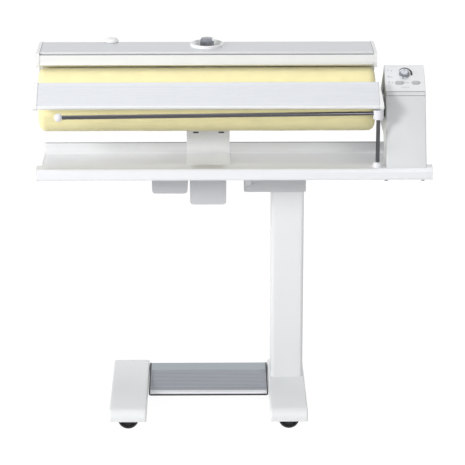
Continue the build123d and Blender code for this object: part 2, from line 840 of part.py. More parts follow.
slab_y = panel_rise / panel_l * panel_t
slab_z = panel_run / panel_l * panel_t
case_under = axis_z - case_under_drop
with BuildSketch(side(0)) as case_outline:
    with BuildLine():
        Polyline(
            (case_foot_front, beam_top),
            (panel_low_y, panel_low_z),
            (panel_low_y + slab_y, panel_low_z - slab_z),
            (panel_top_y + slab_y, case_top - slab_z),
            (panel_top_y, case_top),
            (case_back, axis_z - shoulder_drop),
            (case_back, case_under),
            (case_foot_back + 34, case_under),
            (case_foot_back, beam_top + 15),
            (case_foot_back, beam_top),
            close=True,
        )
    make_face()
    fillet(case_outline.vertices().sort_by(Axis.X)[-2:].sort_by(Axis.Y)[-1], shoulder_r)
    fillet(case_outline.vertices().group_by(Axis.X)[-1].sort_by(Axis.Y)[0], 6)
    step = case_outline.vertices().filter_by_position(Axis.Y, case_under - 0.1, case_under + 0.1)
    fillet(step.sort_by(Axis.X)[0], 20)

case_l = case_right - case_left
front_run = panel_low_y - case_foot_front
front_rise = panel_low_z - beam_top
front_l = (front_run ** 2 + front_rise ** 2) ** 0.5
seam_dy = front_run / front_l
seam_dz = front_rise / front_l
seam_y = panel_low_y - lip_l * seam_dy
seam_z = panel_low_z - lip_l * seam_dz
with BuildPart() as drive_casing:
    shell = Pos(case_left, 0, 0) * case_outline.sketch
    extrude(shell, amount=case_l)
    hollow = offset(case_outline.sketch, amount=-case_t, mode=Mode.PRIVATE)
    extrude(Pos(case_left + case_t, 0, 0) * hollow, amount=case_l - 2 * case_t, mode=Mode.SUBTRACT)
    # window behind the panel
    with BuildSketch(panel_plane(panel_l / 2, -panel_t - 4)):
        with Locations(((case_left + case_right) / 2, 0)):
            Rectangle(case_l - 16, panel_l - 16)
    extrude(amount=8, mode=Mode.SUBTRACT)
    # way down into the pedestal
    with BuildSketch(Plane.XY.offset(case_under - 2)):
        with Locations(((pedestal_left + case_right) / 2, (pedestal_front + pedestal_back) / 2)):
            Rectangle(case_right - pedestal_left - 2 * case_t, pedestal_back - pedestal_front - 2 * case_t)
    extrude(amount=case_t + 4, mode=Mode.SUBTRACT)
    # seam across the front, below the panel
    seam = Plane(
        origin=((case_left + case_right) / 2, seam_y, seam_z), x_dir=(1, 0, 0), z_dir=(0, -seam_dz, seam_dy)
    )
    with BuildSketch(seam.offset(-0.8)):
        Rectangle(case_l + 2, seam_w)
    extrude(amount=2, mode=Mode.SUBTRACT)
    # hole for the roller's shaft
    with BuildSketch(side(case_left - 1, 0, axis_z)):
        Circle(sleeve_r + 4)
    extrude(amount=case_t + 2, mode=Mode.SUBTRACT)
drive_casing.part.label = "drive_casing"
export_step(drive_casing.part, "parts/drive_casing.step")

with BuildPart() as pedestal_cover:
    with BuildSketch(Plane.XY.offset(floor_top)):
        with Locations(((pedestal_left + case_right) / 2, (pedestal_front + pedestal_back) / 2)):
            RectangleRounded(case_right - pedestal_left, pedestal_back - pedestal_front, 4)
            RectangleRounded(
                case_right - pedestal_left - 2 * case_t,
                pedestal_back - pedestal_front - 2 * case_t,
                4 - case_t,
                mode=Mode.SUBTRACT,
            )
    extrude(amount=case_under - floor_top)
    # air slots at the back, and the gland of the supply lead
    back_face = Plane(origin=(0, pedestal_back + 1, 0), x_dir=(1, 0, 0), z_dir=(0, -1, 0))
    with BuildSketch(back_face):
        with Locations(((pedestal_left + case_right) / 2, (case_under + floor_top) / 2 + 12)):
            with GridLocations(1, 8, 1, 6):
                SlotOverall(50, 3.5)
    extrude(amount=case_t + 2, mode=Mode.SUBTRACT)
    with BuildSketch(back_face.offset(1)):
        with Locations((pedestal_left + 20, floor_top + 16)):
            Circle(9)
            Circle(4.2, mode=Mode.SUBTRACT)
    extrude(amount=-7)
    with BuildSketch(back_face):
        with Locations((pedestal_left + 20, floor_top + 16)):
            Circle(4.2)
    extrude(amount=case_t + 2, mode=Mode.SUBTRACT)
pedestal_cover.part.label = "pedestal_cover"
export_step(pedestal_cover.part, "parts/pedestal_cover.step")

# ================= control panel =================

with BuildPart() as control_panel:
    with BuildSketch(panel_plane(panel_l / 2, -panel_t)):
        with Locations(((case_left + case_right) / 2, 0)):
            Rectangle(case_l, panel_l)
    extrude(amount=panel_t)
    rim = control_panel.faces().sort_by(lambda f: f.center().Z - f.center().Y)[-1]
    chamfer(rim.edges(), 1)
    # posts for the circuit board
    with BuildSketch(panel_plane(panel_l / 2, -board_gap)):
        with Locations(((case_left + case_right) / 2, 0)):
            with GridLocations(case_l - 30, panel_l - 26, 2, 2):
                Circle(3)
    extrude(amount=board_gap - panel_t)
    with BuildSketch(panel_plane(0, 1)):
        with Locations((dial_x, dial_up)):
            Circle(3 + run)
        for button_x in button_xs:
            with Locations((button_x, button_up)):
                SlotOverall(button_l + 2 * button_gap, button_w + 2 * button_gap)
    extrude(amount=-panel_t - 2, mode=Mode.SUBTRACT)
control_panel.part.label = "control_panel"
export_step(control_panel.part, "parts/control_panel.step")

board_t = 1.6
switch_out = -board_gap + 5
with BuildPart() as circuit_board:
    with BuildSketch(panel_plane(panel_l / 2, -board_gap - board_t)):
        with Locations(((case_left + case_right) / 2, 0)):
            Rectangle(case_l - 18, panel_l - 16)
    extrude(amount=board_t)
    with BuildSketch(panel_plane(0, -board_gap)):
        with Locations((dial_x, dial_up)):
            Circle(8)
            Circle(3 + run, mode=Mode.SUBTRACT)
        for button_x in button_xs:
            with Locations((button_x, button_up)):
                Rectangle(7, 7)
    extrude(amount=5)
    with BuildSketch(panel_plane(0, -board_gap - board_t)):
        with Locations((gear_x + gear_t + 14, 26)):
            Rectangle(22, 30)
    extrude(amount=-12)
circuit_board.part.label = "circuit_board"
export_step(circuit_board.part, "parts/circuit_board.step")

with BuildPart() as dial:
    with BuildSketch(panel_plane(dial_up, touch, dial_x)):
        Circle(dial_d / 2)
    extrude(amount=1.5)
    with BuildSketch(panel_plane(dial_up, touch + 1.5, dial_x)):
        Circle(dial_d / 2 - 1)
    extrude(amount=dial_h - 1.5, taper=5)
    crown = dial.edges().filter_by(GeomType.CIRCLE).sort_by(lambda e: e.center().Z - e.center().Y)[-1]
    fillet(crown, 2)
    with BuildSketch(panel_plane(dial_up, -board_gap + 1, dial_x)):
        Circle(3)
    extrude(amount=board_gap)
dial.part.label = "dial"
export_step(dial.part, "parts/dial.step")

button_names = ("start_button", "steam_button")
for button_name, button_x in zip(button_names, button_xs):
    with BuildPart() as button:
        with BuildSketch(panel_plane(button_up, -panel_t - 2, button_x)):
            SlotOverall(button_l, button_w)
        extrude(amount=panel_t + 2 + button_out)
        cap_face = button.faces().sort_by(lambda f: f.center().Z - f.center().Y)[-1]
        fillet(cap_face.edges(), 1.2)
        with BuildSketch(panel_plane(button_up, switch_out + 2, button_x)):
            Circle(2.5)
        extrude(amount=-panel_t - switch_out - 3)
    button.part.label = button_name
    export_step(button.part, f"parts/{button_name}.step")

# ================= feeder table =================

feeder_run = feeder_top[0] - feeder_low[0]
feeder_rise = feeder_top[1] - feeder_low[1]
feeder_l = (feeder_run ** 2 + feeder_rise ** 2) ** 0.5
feeder_lip = 5            # thickness along the upper edge


def feeder_plane(x):
    """A plane across the feeder: x runs up the slope, y stands out from its face."""
    dy, dz = feeder_run / feeder_l, feeder_rise / feeder_l
    return Plane(origin=(x, feeder_low[0], axis_z + feeder_low[1]), x_dir=(0, dy, dz), z_dir=(1, 0, 0))


feeder_body_l = feeder_right - feeder_left - 2 * feeder_end_t
with BuildPart() as feeder_table:
    with BuildSketch(feeder_plane(feeder_left + feeder_end_t)) as board:
        with BuildLine():
            Polyline((0, 0), (feeder_l, 0), (feeder_l, -feeder_lip), (12, -feeder_t), (0, -8), close=True)
        make_face()
        fillet(board.vertices().sort_by(Axis.X)[-2:], 2)
        with Locations((feeder_bead / 2 - 1, -feeder_bead / 2 + 0.8)):
            Circle(feeder_bead / 2)
        for rib in range(feeder_ribs):
            with Locations((14 + rib * feeder_rib_pitch, 0.25)):
                Trapezoid(1.6, 0.5, 60)
    extrude(amount=feeder_body_l)
    # two long cells inside the board
    for cell_low, cell_high in ((14, 38), (41, 66)):
        with BuildSketch(feeder_plane(feeder_left + feeder_end_t)):
            with BuildLine():
                Polyline(
                    (cell_low, -feeder_wall),
                    (cell_high, -feeder_wall),
                    (cell_high, -feeder_t + feeder_wall + (cell_high - 12) * (feeder_t - feeder_lip) / (feeder_l - 12)),
                    (cell_low, -feeder_t + feeder_wall + (cell_low - 12) * (feeder_t - feeder_lip) / (feeder_l - 12)),
                    close=True,
                )
            make_face()
        extrude(amount=feeder_body_l, mode=Mode.SUBTRACT)
feeder_table.part.label = "feeder_table"
export_step(feeder_table.part, "parts/feeder_table.step")

cap_proud = 0.8
with BuildPart() as feeder_ends:
    for start_x in (feeder_left, feeder_right - feeder_end_t):
        with BuildSketch(feeder_plane(start_x)) as cap:
            with BuildLine():
                Polyline(
                    (-cap_proud - 1, cap_proud),
                    (feeder_l + cap_proud, cap_proud),
                    (feeder_l + cap_proud, -feeder_lip - cap_proud),
                    (12, -feeder_t - cap_proud),
                    (-cap_proud - 1, -feeder_bead),
                    close=True,
                )
            make_face()
            fillet(cap.vertices(), 1.8)
        extrude(amount=feeder_end_t)
    # the right end is cut back towards its upper edge
    with BuildSketch(Plane(feeder_plane(0).origin, x_dir=(1, 0, 0), z_dir=feeder_plane(0).y_dir).offset(-30)):
        with BuildLine():
            Polyline(
                (feeder_right, 12),
                (feeder_right + 5, 12),
                (feeder_right + 5, feeder_l + 5),
                (feeder_right - feeder_end_t + 1, feeder_l + 5),
                close=True,
            )
        make_face()
    extrude(amount=60, mode=Mode.SUBTRACT)
feeder_ends.part.label = "feeder_ends"
export_step(feeder_ends.part, "parts/feeder_ends.step")

bracket_plate_t = 6
bush_z = axis_z - bush_drop
bracket_x = feeder_right - feeder_end_t + 2
cap_back = feeder_plane(0)
cap_slope = (feeder_t - feeder_lip) / (feeder_l + cap_proud - 12)
seat_low = cap_back.from_local_coords(Vector(16, -feeder_t - cap_proud + 4 * cap_slope))
seat_high = cap_back.from_local_coords(Vector(50, -feeder_t - cap_proud + 38 * cap_slope))
with BuildPart() as feeder_bracket:
    with BuildSketch(side(bracket_x)):
        with BuildLine():
            Polyline(
                (seat_low.Y, seat_low.Z),
                (seat_high.Y, seat_high.Z),
                (bush_y + 12, bush_z + 14),
                (bush_y + 12, bush_z - 12),
                (bush_y - 10, bush_z - 12),
                close=True,
            )
        make_face()
    extrude(amount=bracket_plate_t)
    with BuildSketch(side(bracket_x, bush_y, bush_z)):
        Circle(bush_d / 2)
    extrude(amount=case_left - bracket_x)
feeder_bracket.part.label = "feeder_bracket"
export_step(feeder_bracket.part, "parts/feeder_bracket.step")

# ================= laundry rail =================

rail_turn = radians(rail_swing)
with BuildPart() as post_foot:
    with BuildSketch(Plane.XY.offset(beam_top)):
        with Locations((rail_x, rail_y)):
            Circle(cone_low_d / 2)
    with BuildSketch(Plane.XY.offset(beam_top + cone_h)):
        with Locations((rail_x, rail_y)):
            Circle(cone_top_d / 2)
    loft()
    with BuildSketch(Plane.XY.offset(beam_top + 1)):
        with Locations((rail_x, rail_y)):
            Circle(rail_d / 2 + run)
    extrude(amount=cone_h, mode=Mode.SUBTRACT)
post_foot.part.label = "post_foot"
export_step(post_foot.part, "parts/post_foot.step")

rail_out = Vector(-cos(rail_turn), -sin(rail_turn), 0)
rail_corner = Vector(rail_x, rail_y, rail_z)
bend_start = rail_corner - Vector(0, 0, rail_bend_r)
bend_axis = Axis(bend_start + rail_out * rail_bend_r, Vector(0, 0, 1).cross(rail_out))
with BuildPart() as laundry_rail:
    with BuildSketch(Plane.XY.offset(beam_top + 1)):
        with Locations((rail_x, rail_y)):
            Circle(rail_d / 2)
    extrude(amount=bend_start.Z - beam_top - 1)
    with BuildSketch(Plane.XY.offset(bend_start.Z)):
        with Locations((rail_x, rail_y)):
            Circle(rail_d / 2)
    revolve(axis=bend_axis, revolution_arc=90)
    # the straight rod and its ball end
    ball_start = rail_l - ((ball_d / 2) ** 2 - (rail_d / 2) ** 2) ** 0.5
    with BuildSketch(Plane(rail_corner, x_dir=rail_out, z_dir=Vector(0, 0, 1).cross(rail_out))):
        with BuildLine():
            Line((rail_bend_r, 0), (rail_bend_r, rail_d / 2))
            Line((rail_bend_r, rail_d / 2), (ball_start, rail_d / 2))
            ThreePointArc(
                (ball_start, rail_d / 2),
                (rail_l, ball_d / 2),
                (rail_l + ball_d / 2, 0),
            )
            Line((rail_l + ball_d / 2, 0), (rail_bend_r, 0))
        make_face()
    revolve(axis=Axis(rail_corner, rail_out))
laundry_rail.part.label = "laundry_rail"
export_step(laundry_rail.part, "parts/laundry_rail.step")

elbow_top = rail_z + 9
with BuildPart() as rail_elbow:
    with BuildSketch(Plane.XY.offset(elbow_top - elbow_h)):
        with Locations((rail_x, rail_y)):
            Circle(elbow_d / 2)
    extrude(amount=elbow_h)
    fillet(rail_elbow.edges().filter_by(GeomType.CIRCLE), 3)
    add(laundry_rail.part, mode=Mode.SUBTRACT)
rail_elbow.part.label = "rail_elbow"
export_step(rail_elbow.part, "parts/rail_elbow.step")

# ================= heating shoe and hood =================

# The shoe wraps the roller. Pressed, it would lie concentric with the roller; here it is
# drawn turned back about the arm's pin by the angle that it stands open.
shoe_out_r = shoe_r + shoe_t
sweep = shoe_front_deg - shoe_back_deg
hood_len = hood_right - hood_left
inner_left = hood_left + hood_end_t
inner_len = hood_len - 2 * hood_end_t
with BuildPart() as heating_shoe:
    with BuildSketch(side(inner_left, shoe_y, shoe_z)):
        with BuildLine():
            outer_arc = CenterArc((0, 0), shoe_out_r, shoe_back_deg, sweep)
            inner_arc = CenterArc((0, 0), shoe_r, shoe_back_deg, sweep)
            Line(outer_arc @ 0, inner_arc @ 0)
            Line(outer_arc @ 1, inner_arc @ 1)
        make_face()
    extrude(amount=inner_len)
heating_shoe.part.label = "heating_shoe"
export_step(heating_shoe.part, "parts/heating_shoe.step")

hood_tail_z = shoe_z - hood_tail_drop
hood_foot_z = shoe_z - hood_foot_drop
lip_z = shoe_z + shoe_out_r + 3


def hood_polygon(x, proud=0.0, front=hood_front):
    """The hood's outer section, closed through the shoe's centre."""
    with BuildSketch(side(x)) as outline:
        with BuildLine():
            Polyline(
                (shoe_y, shoe_z),
                (front, lip_z - proud),
                (front, hood_top + proud),
                (hood_flat_back, hood_top + proud),
                (hood_back + proud, shoe_z + 38),
                (hood_back + proud, hood_tail_z),
                (hood_back - 30, hood_foot_z - proud),
                (hood_back - 40, hood_foot_z - proud),
                close=True,
            )
        make_face()
        corners = outline.vertices()
        fillet(corners.sort_by(Axis.Y)[-2:].sort_by(Axis.X)[-1], 14)
        fillet(outline.vertices().sort_by(Axis.Y)[-2:].sort_by(Axis.X)[0], 4)
        fillet(outline.vertices().filter_by_position(Axis.Y, hood_tail_z - 0.1, hood_tail_z + 0.1), 20)
    return outline.sketch


with BuildPart() as hood:
    solid_outline = hood_polygon(inner_left)
    extrude(solid_outline, amount=inner_len)
    cavity = offset(solid_outline, amount=-hood_t, mode=Mode.PRIVATE)
    extrude(cavity, amount=inner_len, mode=Mode.SUBTRACT)
    with BuildSketch(side(inner_left, shoe_y, shoe_z)):
        Circle(shoe_out_r)
    extrude(amount=inner_len, mode=Mode.SUBTRACT)
    with BuildSketch(Plane.XY.offset(hood_top - 5)):
        with Locations((bowl_x, bowl_y)):
            Circle(bowl_d / 2 - 5)
    extrude(amount=10, mode=Mode.SUBTRACT)
    with BuildSketch(Plane.XY.offset(shoe_z + 48)):
        with Locations((vent_x, vent_y)):
            Circle(vent_d / 4)
    extrude(amount=hood_top - shoe_z, mode=Mode.SUBTRACT)
hood.part.label = "hood"
export_step(hood.part, "parts/hood.step")

guard_front = hood_front - guard_t - 2
with BuildPart() as hood_ends:
    for start_x in (hood_left, hood_right - hood_end_t):
        extrude(hood_polygon(start_x, 0.8, guard_front - 0.8), amount=hood_end_t)
        with BuildSketch(side(start_x, shoe_y, shoe_z)):
            Circle(shoe_r)
        extrude(amount=hood_end_t, mode=Mode.SUBTRACT)
hood_ends.part.label = "hood_ends"
export_step(hood_ends.part, "parts/hood_ends.step")

guard_top = hood_top - 2
with BuildPart() as finger_guard:
    with BuildSketch(side(inner_left + touch)):
        with Locations((guard_front + guard_t / 2, guard_top - guard_h / 2)):
            RectangleRounded(guard_t, guard_h, 2.4)
    extrude(amount=inner_len - 2 * touch)
finger_guard.part.label = "finger_guard"
export_step(finger_guard.part, "parts/finger_guard.step")

rod_seat = shoe_out_r + rod_heater_d / 2 + 0.1
with BuildPart() as heating_rods:
    for rod_deg in (85, 55, 25, -5):
        rod_y = shoe_y + rod_seat * cos(radians(rod_deg))
        rod_z = shoe_z + rod_seat * sin(radians(rod_deg))
        with BuildSketch(side(inner_left + 4, rod_y, rod_z)):
            Circle(rod_heater_d / 2)
        extrude(amount=inner_len - 8)
heating_rods.part.label = "heating_rods"
export_step(heating_rods.part, "parts/heating_rods.step")

shelf_z = hood_top - bowl_depth - 2
tank_left = bowl_x - tank_l / 2
with BuildSketch(side(0)) as tank_outline:
    with BuildLine():
        Polyline(
            (tank_front, shoe_z + shoe_out_r + 1),
            (tank_front, shelf_z),
            (hood_flat_back - 8, shelf_z),
            (hood_back - tank_room, shoe_z + 58),
            (hood_back - tank_room, shoe_z + 46),
            (hood_back - tank_room - 13, shoe_z + 55),
            (tank_low_y, shoe_z + tank_low_over),
            close=True,
        )
    make_face()
with BuildPart() as water_tank:
    extrude(Pos(tank_left, 0, 0) * tank_outline.sketch, amount=tank_l)
    tank_inside = offset(tank_outline.sketch, amount=-tank_t, kind=Kind.INTERSECTION, mode=Mode.PRIVATE)
    extrude(Pos(tank_left + tank_t, 0, 0) * tank_inside, amount=tank_l - 2 * tank_t, mode=Mode.SUBTRACT)
    with BuildSketch(Plane.XY.offset(shelf_z - tank_t - 1)):
        with Locations((bowl_x, bowl_y)):
            Circle(neck_bore / 2)
    extrude(amount=tank_t + 2, mode=Mode.SUBTRACT)
water_tank.part.label = "water_tank"
export_step(water_tank.part, "parts/water_tank.step")

neck_r = neck_d / 2
with BuildPart() as filler_bowl:
    with BuildSketch(Plane(origin=(bowl_x, bowl_y, hood_top), x_dir=(1, 0, 0), z_dir=(0, -1, 0))):
        with BuildLine():
            Polyline(
                (neck_bore / 2, -bowl_depth - 2),
                (bowl_d / 2 - 15, -bowl_depth - 2),
                (bowl_d / 2 - 5.3, -2),
                (bowl_d / 2 - 5.3, 0),
                (bowl_d / 2, 0),
                (bowl_d / 2, bowl_rise - 1.5),
                (bowl_d / 2 - 1.5, bowl_rise),
                (bowl_d / 2 - 4, bowl_rise),
                (bowl_d / 2 - 15, -bowl_depth),
                (neck_r, -bowl_depth),
                (neck_r, 1),
                (neck_bore / 2, 1),
                close=True,
            )
        make_face()
    revolve(axis=Axis((bowl_x, bowl_y, 0), (0, 0, 1)))
filler_bowl.part.label = "filler_bowl"
export_step(filler_bowl.part, "parts/filler_bowl.step")

with BuildPart() as filler_cap:
    with BuildSketch(Plane(origin=(bowl_x, bowl_y, hood_top), x_dir=(1, 0, 0), z_dir=(0, -1, 0))):
        with BuildLine():
            Polyline(
                (0, 1.2),
                (neck_r + touch, 1.2),
                (neck_r + touch, -7),
                (cap_d / 2 - 1, -7),
                (cap_d / 2, -6),
                (cap_d / 2, cap_h - 6),
                (cap_d / 2 - 3, cap_h),
                (0, cap_h + 1.5),
                close=True,
            )
        make_face()
    revolve(axis=Axis((bowl_x, bowl_y, 0), (0, 0, 1)))
filler_cap.part.label = "filler_cap"
export_step(filler_cap.part, "parts/filler_cap.step")

vent_top = hood_top + 11
with BuildPart() as vent_cap:
    with BuildSketch(Plane(origin=(vent_x, vent_y, vent_top), x_dir=(1, 0, 0), z_dir=(0, -1, 0))):
        with BuildLine():
            Polyline(
                (0, -58),
                (vent_d / 4 - touch, -58),
                (vent_d / 4 - touch, -vent_h),
                (vent_d / 2 - 1, -vent_h),
                (vent_d / 2, -vent_h + 2),
                (vent_d / 2, -6.5),
                (vent_d / 2 - 4, -2.4),
                (vent_d / 2 - 10, 0),
                (0, 0),
                close=True,
            )
        make_face()
    revolve(axis=Axis((vent_x, vent_y, 0), (0, 0, 1)))
vent_cap.part.label = "vent_cap"
export_step(vent_cap.part, "parts/vent_cap.step")

# ================= pressure arm =================

arm_back = pin_y + arm_out
arm_points = [
    (pin_y - 11, pin_z + 2),
    (pin_y, pin_z + 20),
    (pin_y + 4, pin_z + 60),
    (pin_y + 5, pin_z + 90),
    (pin_y - 2, hood_tail_z - 30),
    (hood_back, hood_tail_z + 8),
    (hood_back, hood_tail_z + 48),
    (hood_back + 12, hood_tail_z + 54),
    (arm_back - 9, hood_tail_z + 12),
    (arm_back, hood_tail_z - 45),
    (arm_back, pin_z + 30),
    (pin_y + 13, pin_z - 2),
]
with BuildPart() as press_arm:
    with BuildSketch(side(arm_x - arm_w / 2)):
        with BuildLine():
            Polyline(*arm_points, close=True)
        make_face()
        with Locations((pin_y, pin_z)):
            Circle(13)
    extrude(amount=arm_w)
    with BuildSketch(side(arm_x - arm_w / 2 + arm_t, -5)):
        with BuildLine():
            Polyline(*arm_points, close=True)
        make_face()
        with Locations((pin_y, pin_z)):
            Circle(20)
    extrude(amount=arm_w - 2 * arm_t, mode=Mode.SUBTRACT)
    with BuildSketch(side(arm_x - arm_w / 2 - 1, pin_y, pin_z)):
        Circle(arm_pin_d / 2 + run)
    extrude(amount=arm_w + 2, mode=Mode.SUBTRACT)
press_arm.part.label = "press_arm"
export_step(press_arm.part, "parts/press_arm.step")

with BuildPart() as arm_pin:
    with BuildSketch(side(arm_x - ear_in - ear_t - 2, pin_y, pin_z)):
        Circle(arm_pin_d / 2)
    extrude(amount=2 * (ear_in + ear_t + 2))
arm_pin.part.label = "arm_pin"
export_step(arm_pin.part, "parts/arm_pin.step")

# ================= covers and lift motor =================

cover_wall_y = tray_back - tray_t
ledge_z = floor_top + arm_cover_rise
with BuildPart() as arm_cover:
    with BuildSketch(side(arm_cover_x - arm_cover_l / 2)) as bent:
        with BuildLine():
            Polyline(
                (arm_cover_front, floor_top),
                (cover_wall_y, floor_top),
                (cover_wall_y, ledge_z),
                (cover_wall_y + arm_flange_lean, ledge_z + arm_flange_h),
                (cover_wall_y + arm_flange_lean - arm_cover_t, ledge_z + arm_flange_h),
                (cover_wall_y - arm_cover_t, ledge_z),
                (cover_wall_y - arm_cover_t, floor_top + arm_cover_t),
                (arm_cover_front + 2, floor_top + arm_cover_t),
                close=True,
            )
        make_face()
        heel = bent.vertices().filter_by_position(Axis.Y, floor_top - 0.1, floor_top + arm_cover_t + 0.1)
        fillet(heel.filter_by_position(Axis.X, cover_wall_y - 3, cover_wall_y - 1), tray_bend_r - 2)
        heel = bent.vertices().filter_by_position(Axis.Y, floor_top - 0.1, floor_top + 0.1)
        fillet(heel.filter_by_position(Axis.X, cover_wall_y - 0.1, cover_wall_y + 0.1), tray_bend_r)
    extrude(amount=arm_cover_l)
    # two slots in the flange
    with BuildSketch(Plane(origin=(arm_cover_x, cover_wall_y + 10, 0), x_dir=(1, 0, 0), z_dir=(0, -1, 0))):
        with Locations((-32, ledge_z + 7), (34, ledge_z + 7)):
            SlotOverall(15, 4)
    extrude(amount=20, mode=Mode.SUBTRACT)
arm_cover.part.label = "arm_cover"
export_step(arm_cover.part, "parts/arm_cover.step")


def make_box_cover(span, drop):
    """An open-topped cover that hangs under the tray and the carrier."""
    low = fold_z - drop
    back = carrier_back + 8
    with BuildPart() as cover:
        for inset, mode in ((0, Mode.ADD), (box_t, Mode.SUBTRACT)):
            with BuildSketch(side(span[0] + inset)):
                with BuildLine():
                    Polyline(
                        (box_front + inset, low + inset),
                        (back - inset, low + inset),
                        (back - inset, carrier_low),
                        (carrier_front - touch - inset, carrier_low),
                        (carrier_front - touch - inset, carrier_top),
                        (box_front + inset, carrier_top),
                        close=True,
                    )
                make_face()
            extrude(amount=span[1] - span[0] - 2 * inset, mode=mode)
        fillet(cover.edges().filter_by(Axis.Y).filter_by_position(Axis.Z, low - 0.1, low + 0.1), 9)
    return cover


lift_cover = make_box_cover(lift_box, lift_box_drop)
lift_cover.part.label = "lift_cover"
export_step(lift_cover.part, "parts/lift_cover.step")

lift_motor_cover = make_box_cover(motor_box, motor_box_drop)
lift_motor_cover.part.label = "lift_motor_cover"
export_step(lift_motor_cover.part, "parts/lift_motor_cover.step")

lift_motor_y = (box_front + carrier_front) / 2
with BuildPart() as lift_motor:
    with BuildSketch(side(motor_box[0] + box_t + 2, lift_motor_y, carrier_top - lift_motor_d / 2 - 0.1)):
        Circle(lift_motor_d / 2)
    extrude(amount=lift_motor_l)
lift_motor.part.label = "lift_motor"
export_step(lift_motor.part, "parts/lift_motor.step")
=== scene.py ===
from math import atan2, cos, pi, radians, sin

import bmesh
import bpy
from mathutils import Matrix, Vector


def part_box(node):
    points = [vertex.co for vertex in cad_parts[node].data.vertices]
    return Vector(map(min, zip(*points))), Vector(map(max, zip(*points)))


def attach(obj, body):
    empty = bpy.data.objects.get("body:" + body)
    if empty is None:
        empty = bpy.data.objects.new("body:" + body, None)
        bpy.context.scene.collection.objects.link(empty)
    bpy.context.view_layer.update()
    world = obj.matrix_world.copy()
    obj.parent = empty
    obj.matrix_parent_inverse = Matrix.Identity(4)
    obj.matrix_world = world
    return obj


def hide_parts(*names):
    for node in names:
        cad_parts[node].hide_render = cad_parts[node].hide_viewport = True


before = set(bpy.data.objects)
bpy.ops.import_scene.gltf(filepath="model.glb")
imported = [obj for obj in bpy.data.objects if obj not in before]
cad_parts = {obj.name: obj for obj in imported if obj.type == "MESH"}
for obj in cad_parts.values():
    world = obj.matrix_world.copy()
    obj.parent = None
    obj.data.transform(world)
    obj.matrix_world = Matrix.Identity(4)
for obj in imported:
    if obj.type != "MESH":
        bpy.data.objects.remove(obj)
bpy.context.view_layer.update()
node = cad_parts
print("frame loaded:", len(node), "nodes")

# Lengths are metres in the part's frame: X to the right, Y to the back, Z up.


# Effects that several finishes share, each one a node group with named inputs.

def addNode(tree, kind, sockets=(), **values):
    made = tree.nodes.new(kind)
    for key, value in values.items():
        setattr(made, key, value)
    for key, value in dict(sockets).items():
        made.inputs[key].default_value = value
    return made


def wire(tree, *pairs):
    for start, end in pairs:
        tree.links.new(start, end)


def newGroup(name, inputs, outputs):
    # an input is a colour where it starts as one; of the outputs only Color is
    group = bpy.data.node_groups.new(name, "ShaderNodeTree")
    for label, start in inputs.items():
        kind = "NodeSocketColor" if isinstance(start, tuple) else "NodeSocketFloat"
        socket = group.interface.new_socket(label, in_out="INPUT", socket_type=kind)
        socket.default_value = start
    for label in outputs:
        kind = "NodeSocketColor" if label == "Color" else "NodeSocketFloat"
        group.interface.new_socket(label, in_out="OUTPUT", socket_type=kind)
    return group, group.nodes.new("NodeGroupInput"), group.nodes.new("NodeGroupOutput")


def tintBy(group, gin, gout, pattern, dark, light):
    # the finish's own colour, made darker and lighter by a pattern
    shade = addNode(group, "ShaderNodeMapRange", {"To Min": dark, "To Max": light})
    tint = addNode(group, "ShaderNodeVectorMath", operation="SCALE")
    wire(group,
         (pattern, shade.inputs["Value"]),
         (gin.outputs["Color"], tint.inputs[0]),
         (shade.outputs["Result"], tint.inputs["Scale"]),
         (tint.outputs["Vector"], gout.inputs["Color"]))


def roughenBy(group, gin, gout, pattern, share):
    rough = addNode(group, "ShaderNodeMath", {1: share}, operation="MULTIPLY_ADD")
    wire(group,
         (pattern, rough.inputs[0]),
         (gin.outputs["Roughness"], rough.inputs[2]),
         (rough.outputs[0], gout.inputs["Roughness"]))


def paintGrainGroup():
    # orange-peel height and faint grime mask of sprayed paint
    group, gin, gout = newGroup(
        "paintGrain",
        {"Scale": 900.0, "Grime": 0.12, "Color": (0.8, 0.8, 0.8, 1), "Roughness": 0.35},
        ("Color", "Roughness", "Height"))
    coords = addNode(group, "ShaderNodeTexCoord")
    peel = addNode(group, "ShaderNodeTexNoise", {"Detail": 1.0})
    cloud = addNode(group, "ShaderNodeTexNoise", {"Scale": 9.0, "Detail": 4.0})
    ramp = addNode(group, "ShaderNodeMapRange", {"From Min": 0.42, "From Max": 0.72})
    mask = addNode(group, "ShaderNodeMath", operation="MULTIPLY")
    dull = addNode(group, "ShaderNodeMix", data_type="RGBA", blend_type="MULTIPLY")
    dull.inputs["B"].default_value = (0.93, 0.925, 0.91, 1)
    wire(group,
         (coords.outputs["Object"], peel.inputs["Vector"]),
         (gin.outputs["Scale"], peel.inputs["Scale"]),
         (coords.outputs["Object"], cloud.inputs["Vector"]),
         (cloud.outputs["Fac"], ramp.inputs["Value"]),
         (ramp.outputs["Result"], mask.inputs[0]),
         (gin.outputs["Grime"], mask.inputs[1]),
         (mask.outputs[0], dull.inputs["Factor"]),
         (gin.outputs["Color"], dull.inputs["A"]),
         (dull.outputs["Result"], gout.inputs["Color"]),
         (peel.outputs["Fac"], gout.inputs["Height"]))
    roughenBy(group, gin, gout, mask.outputs[0], 0.6)
    return group


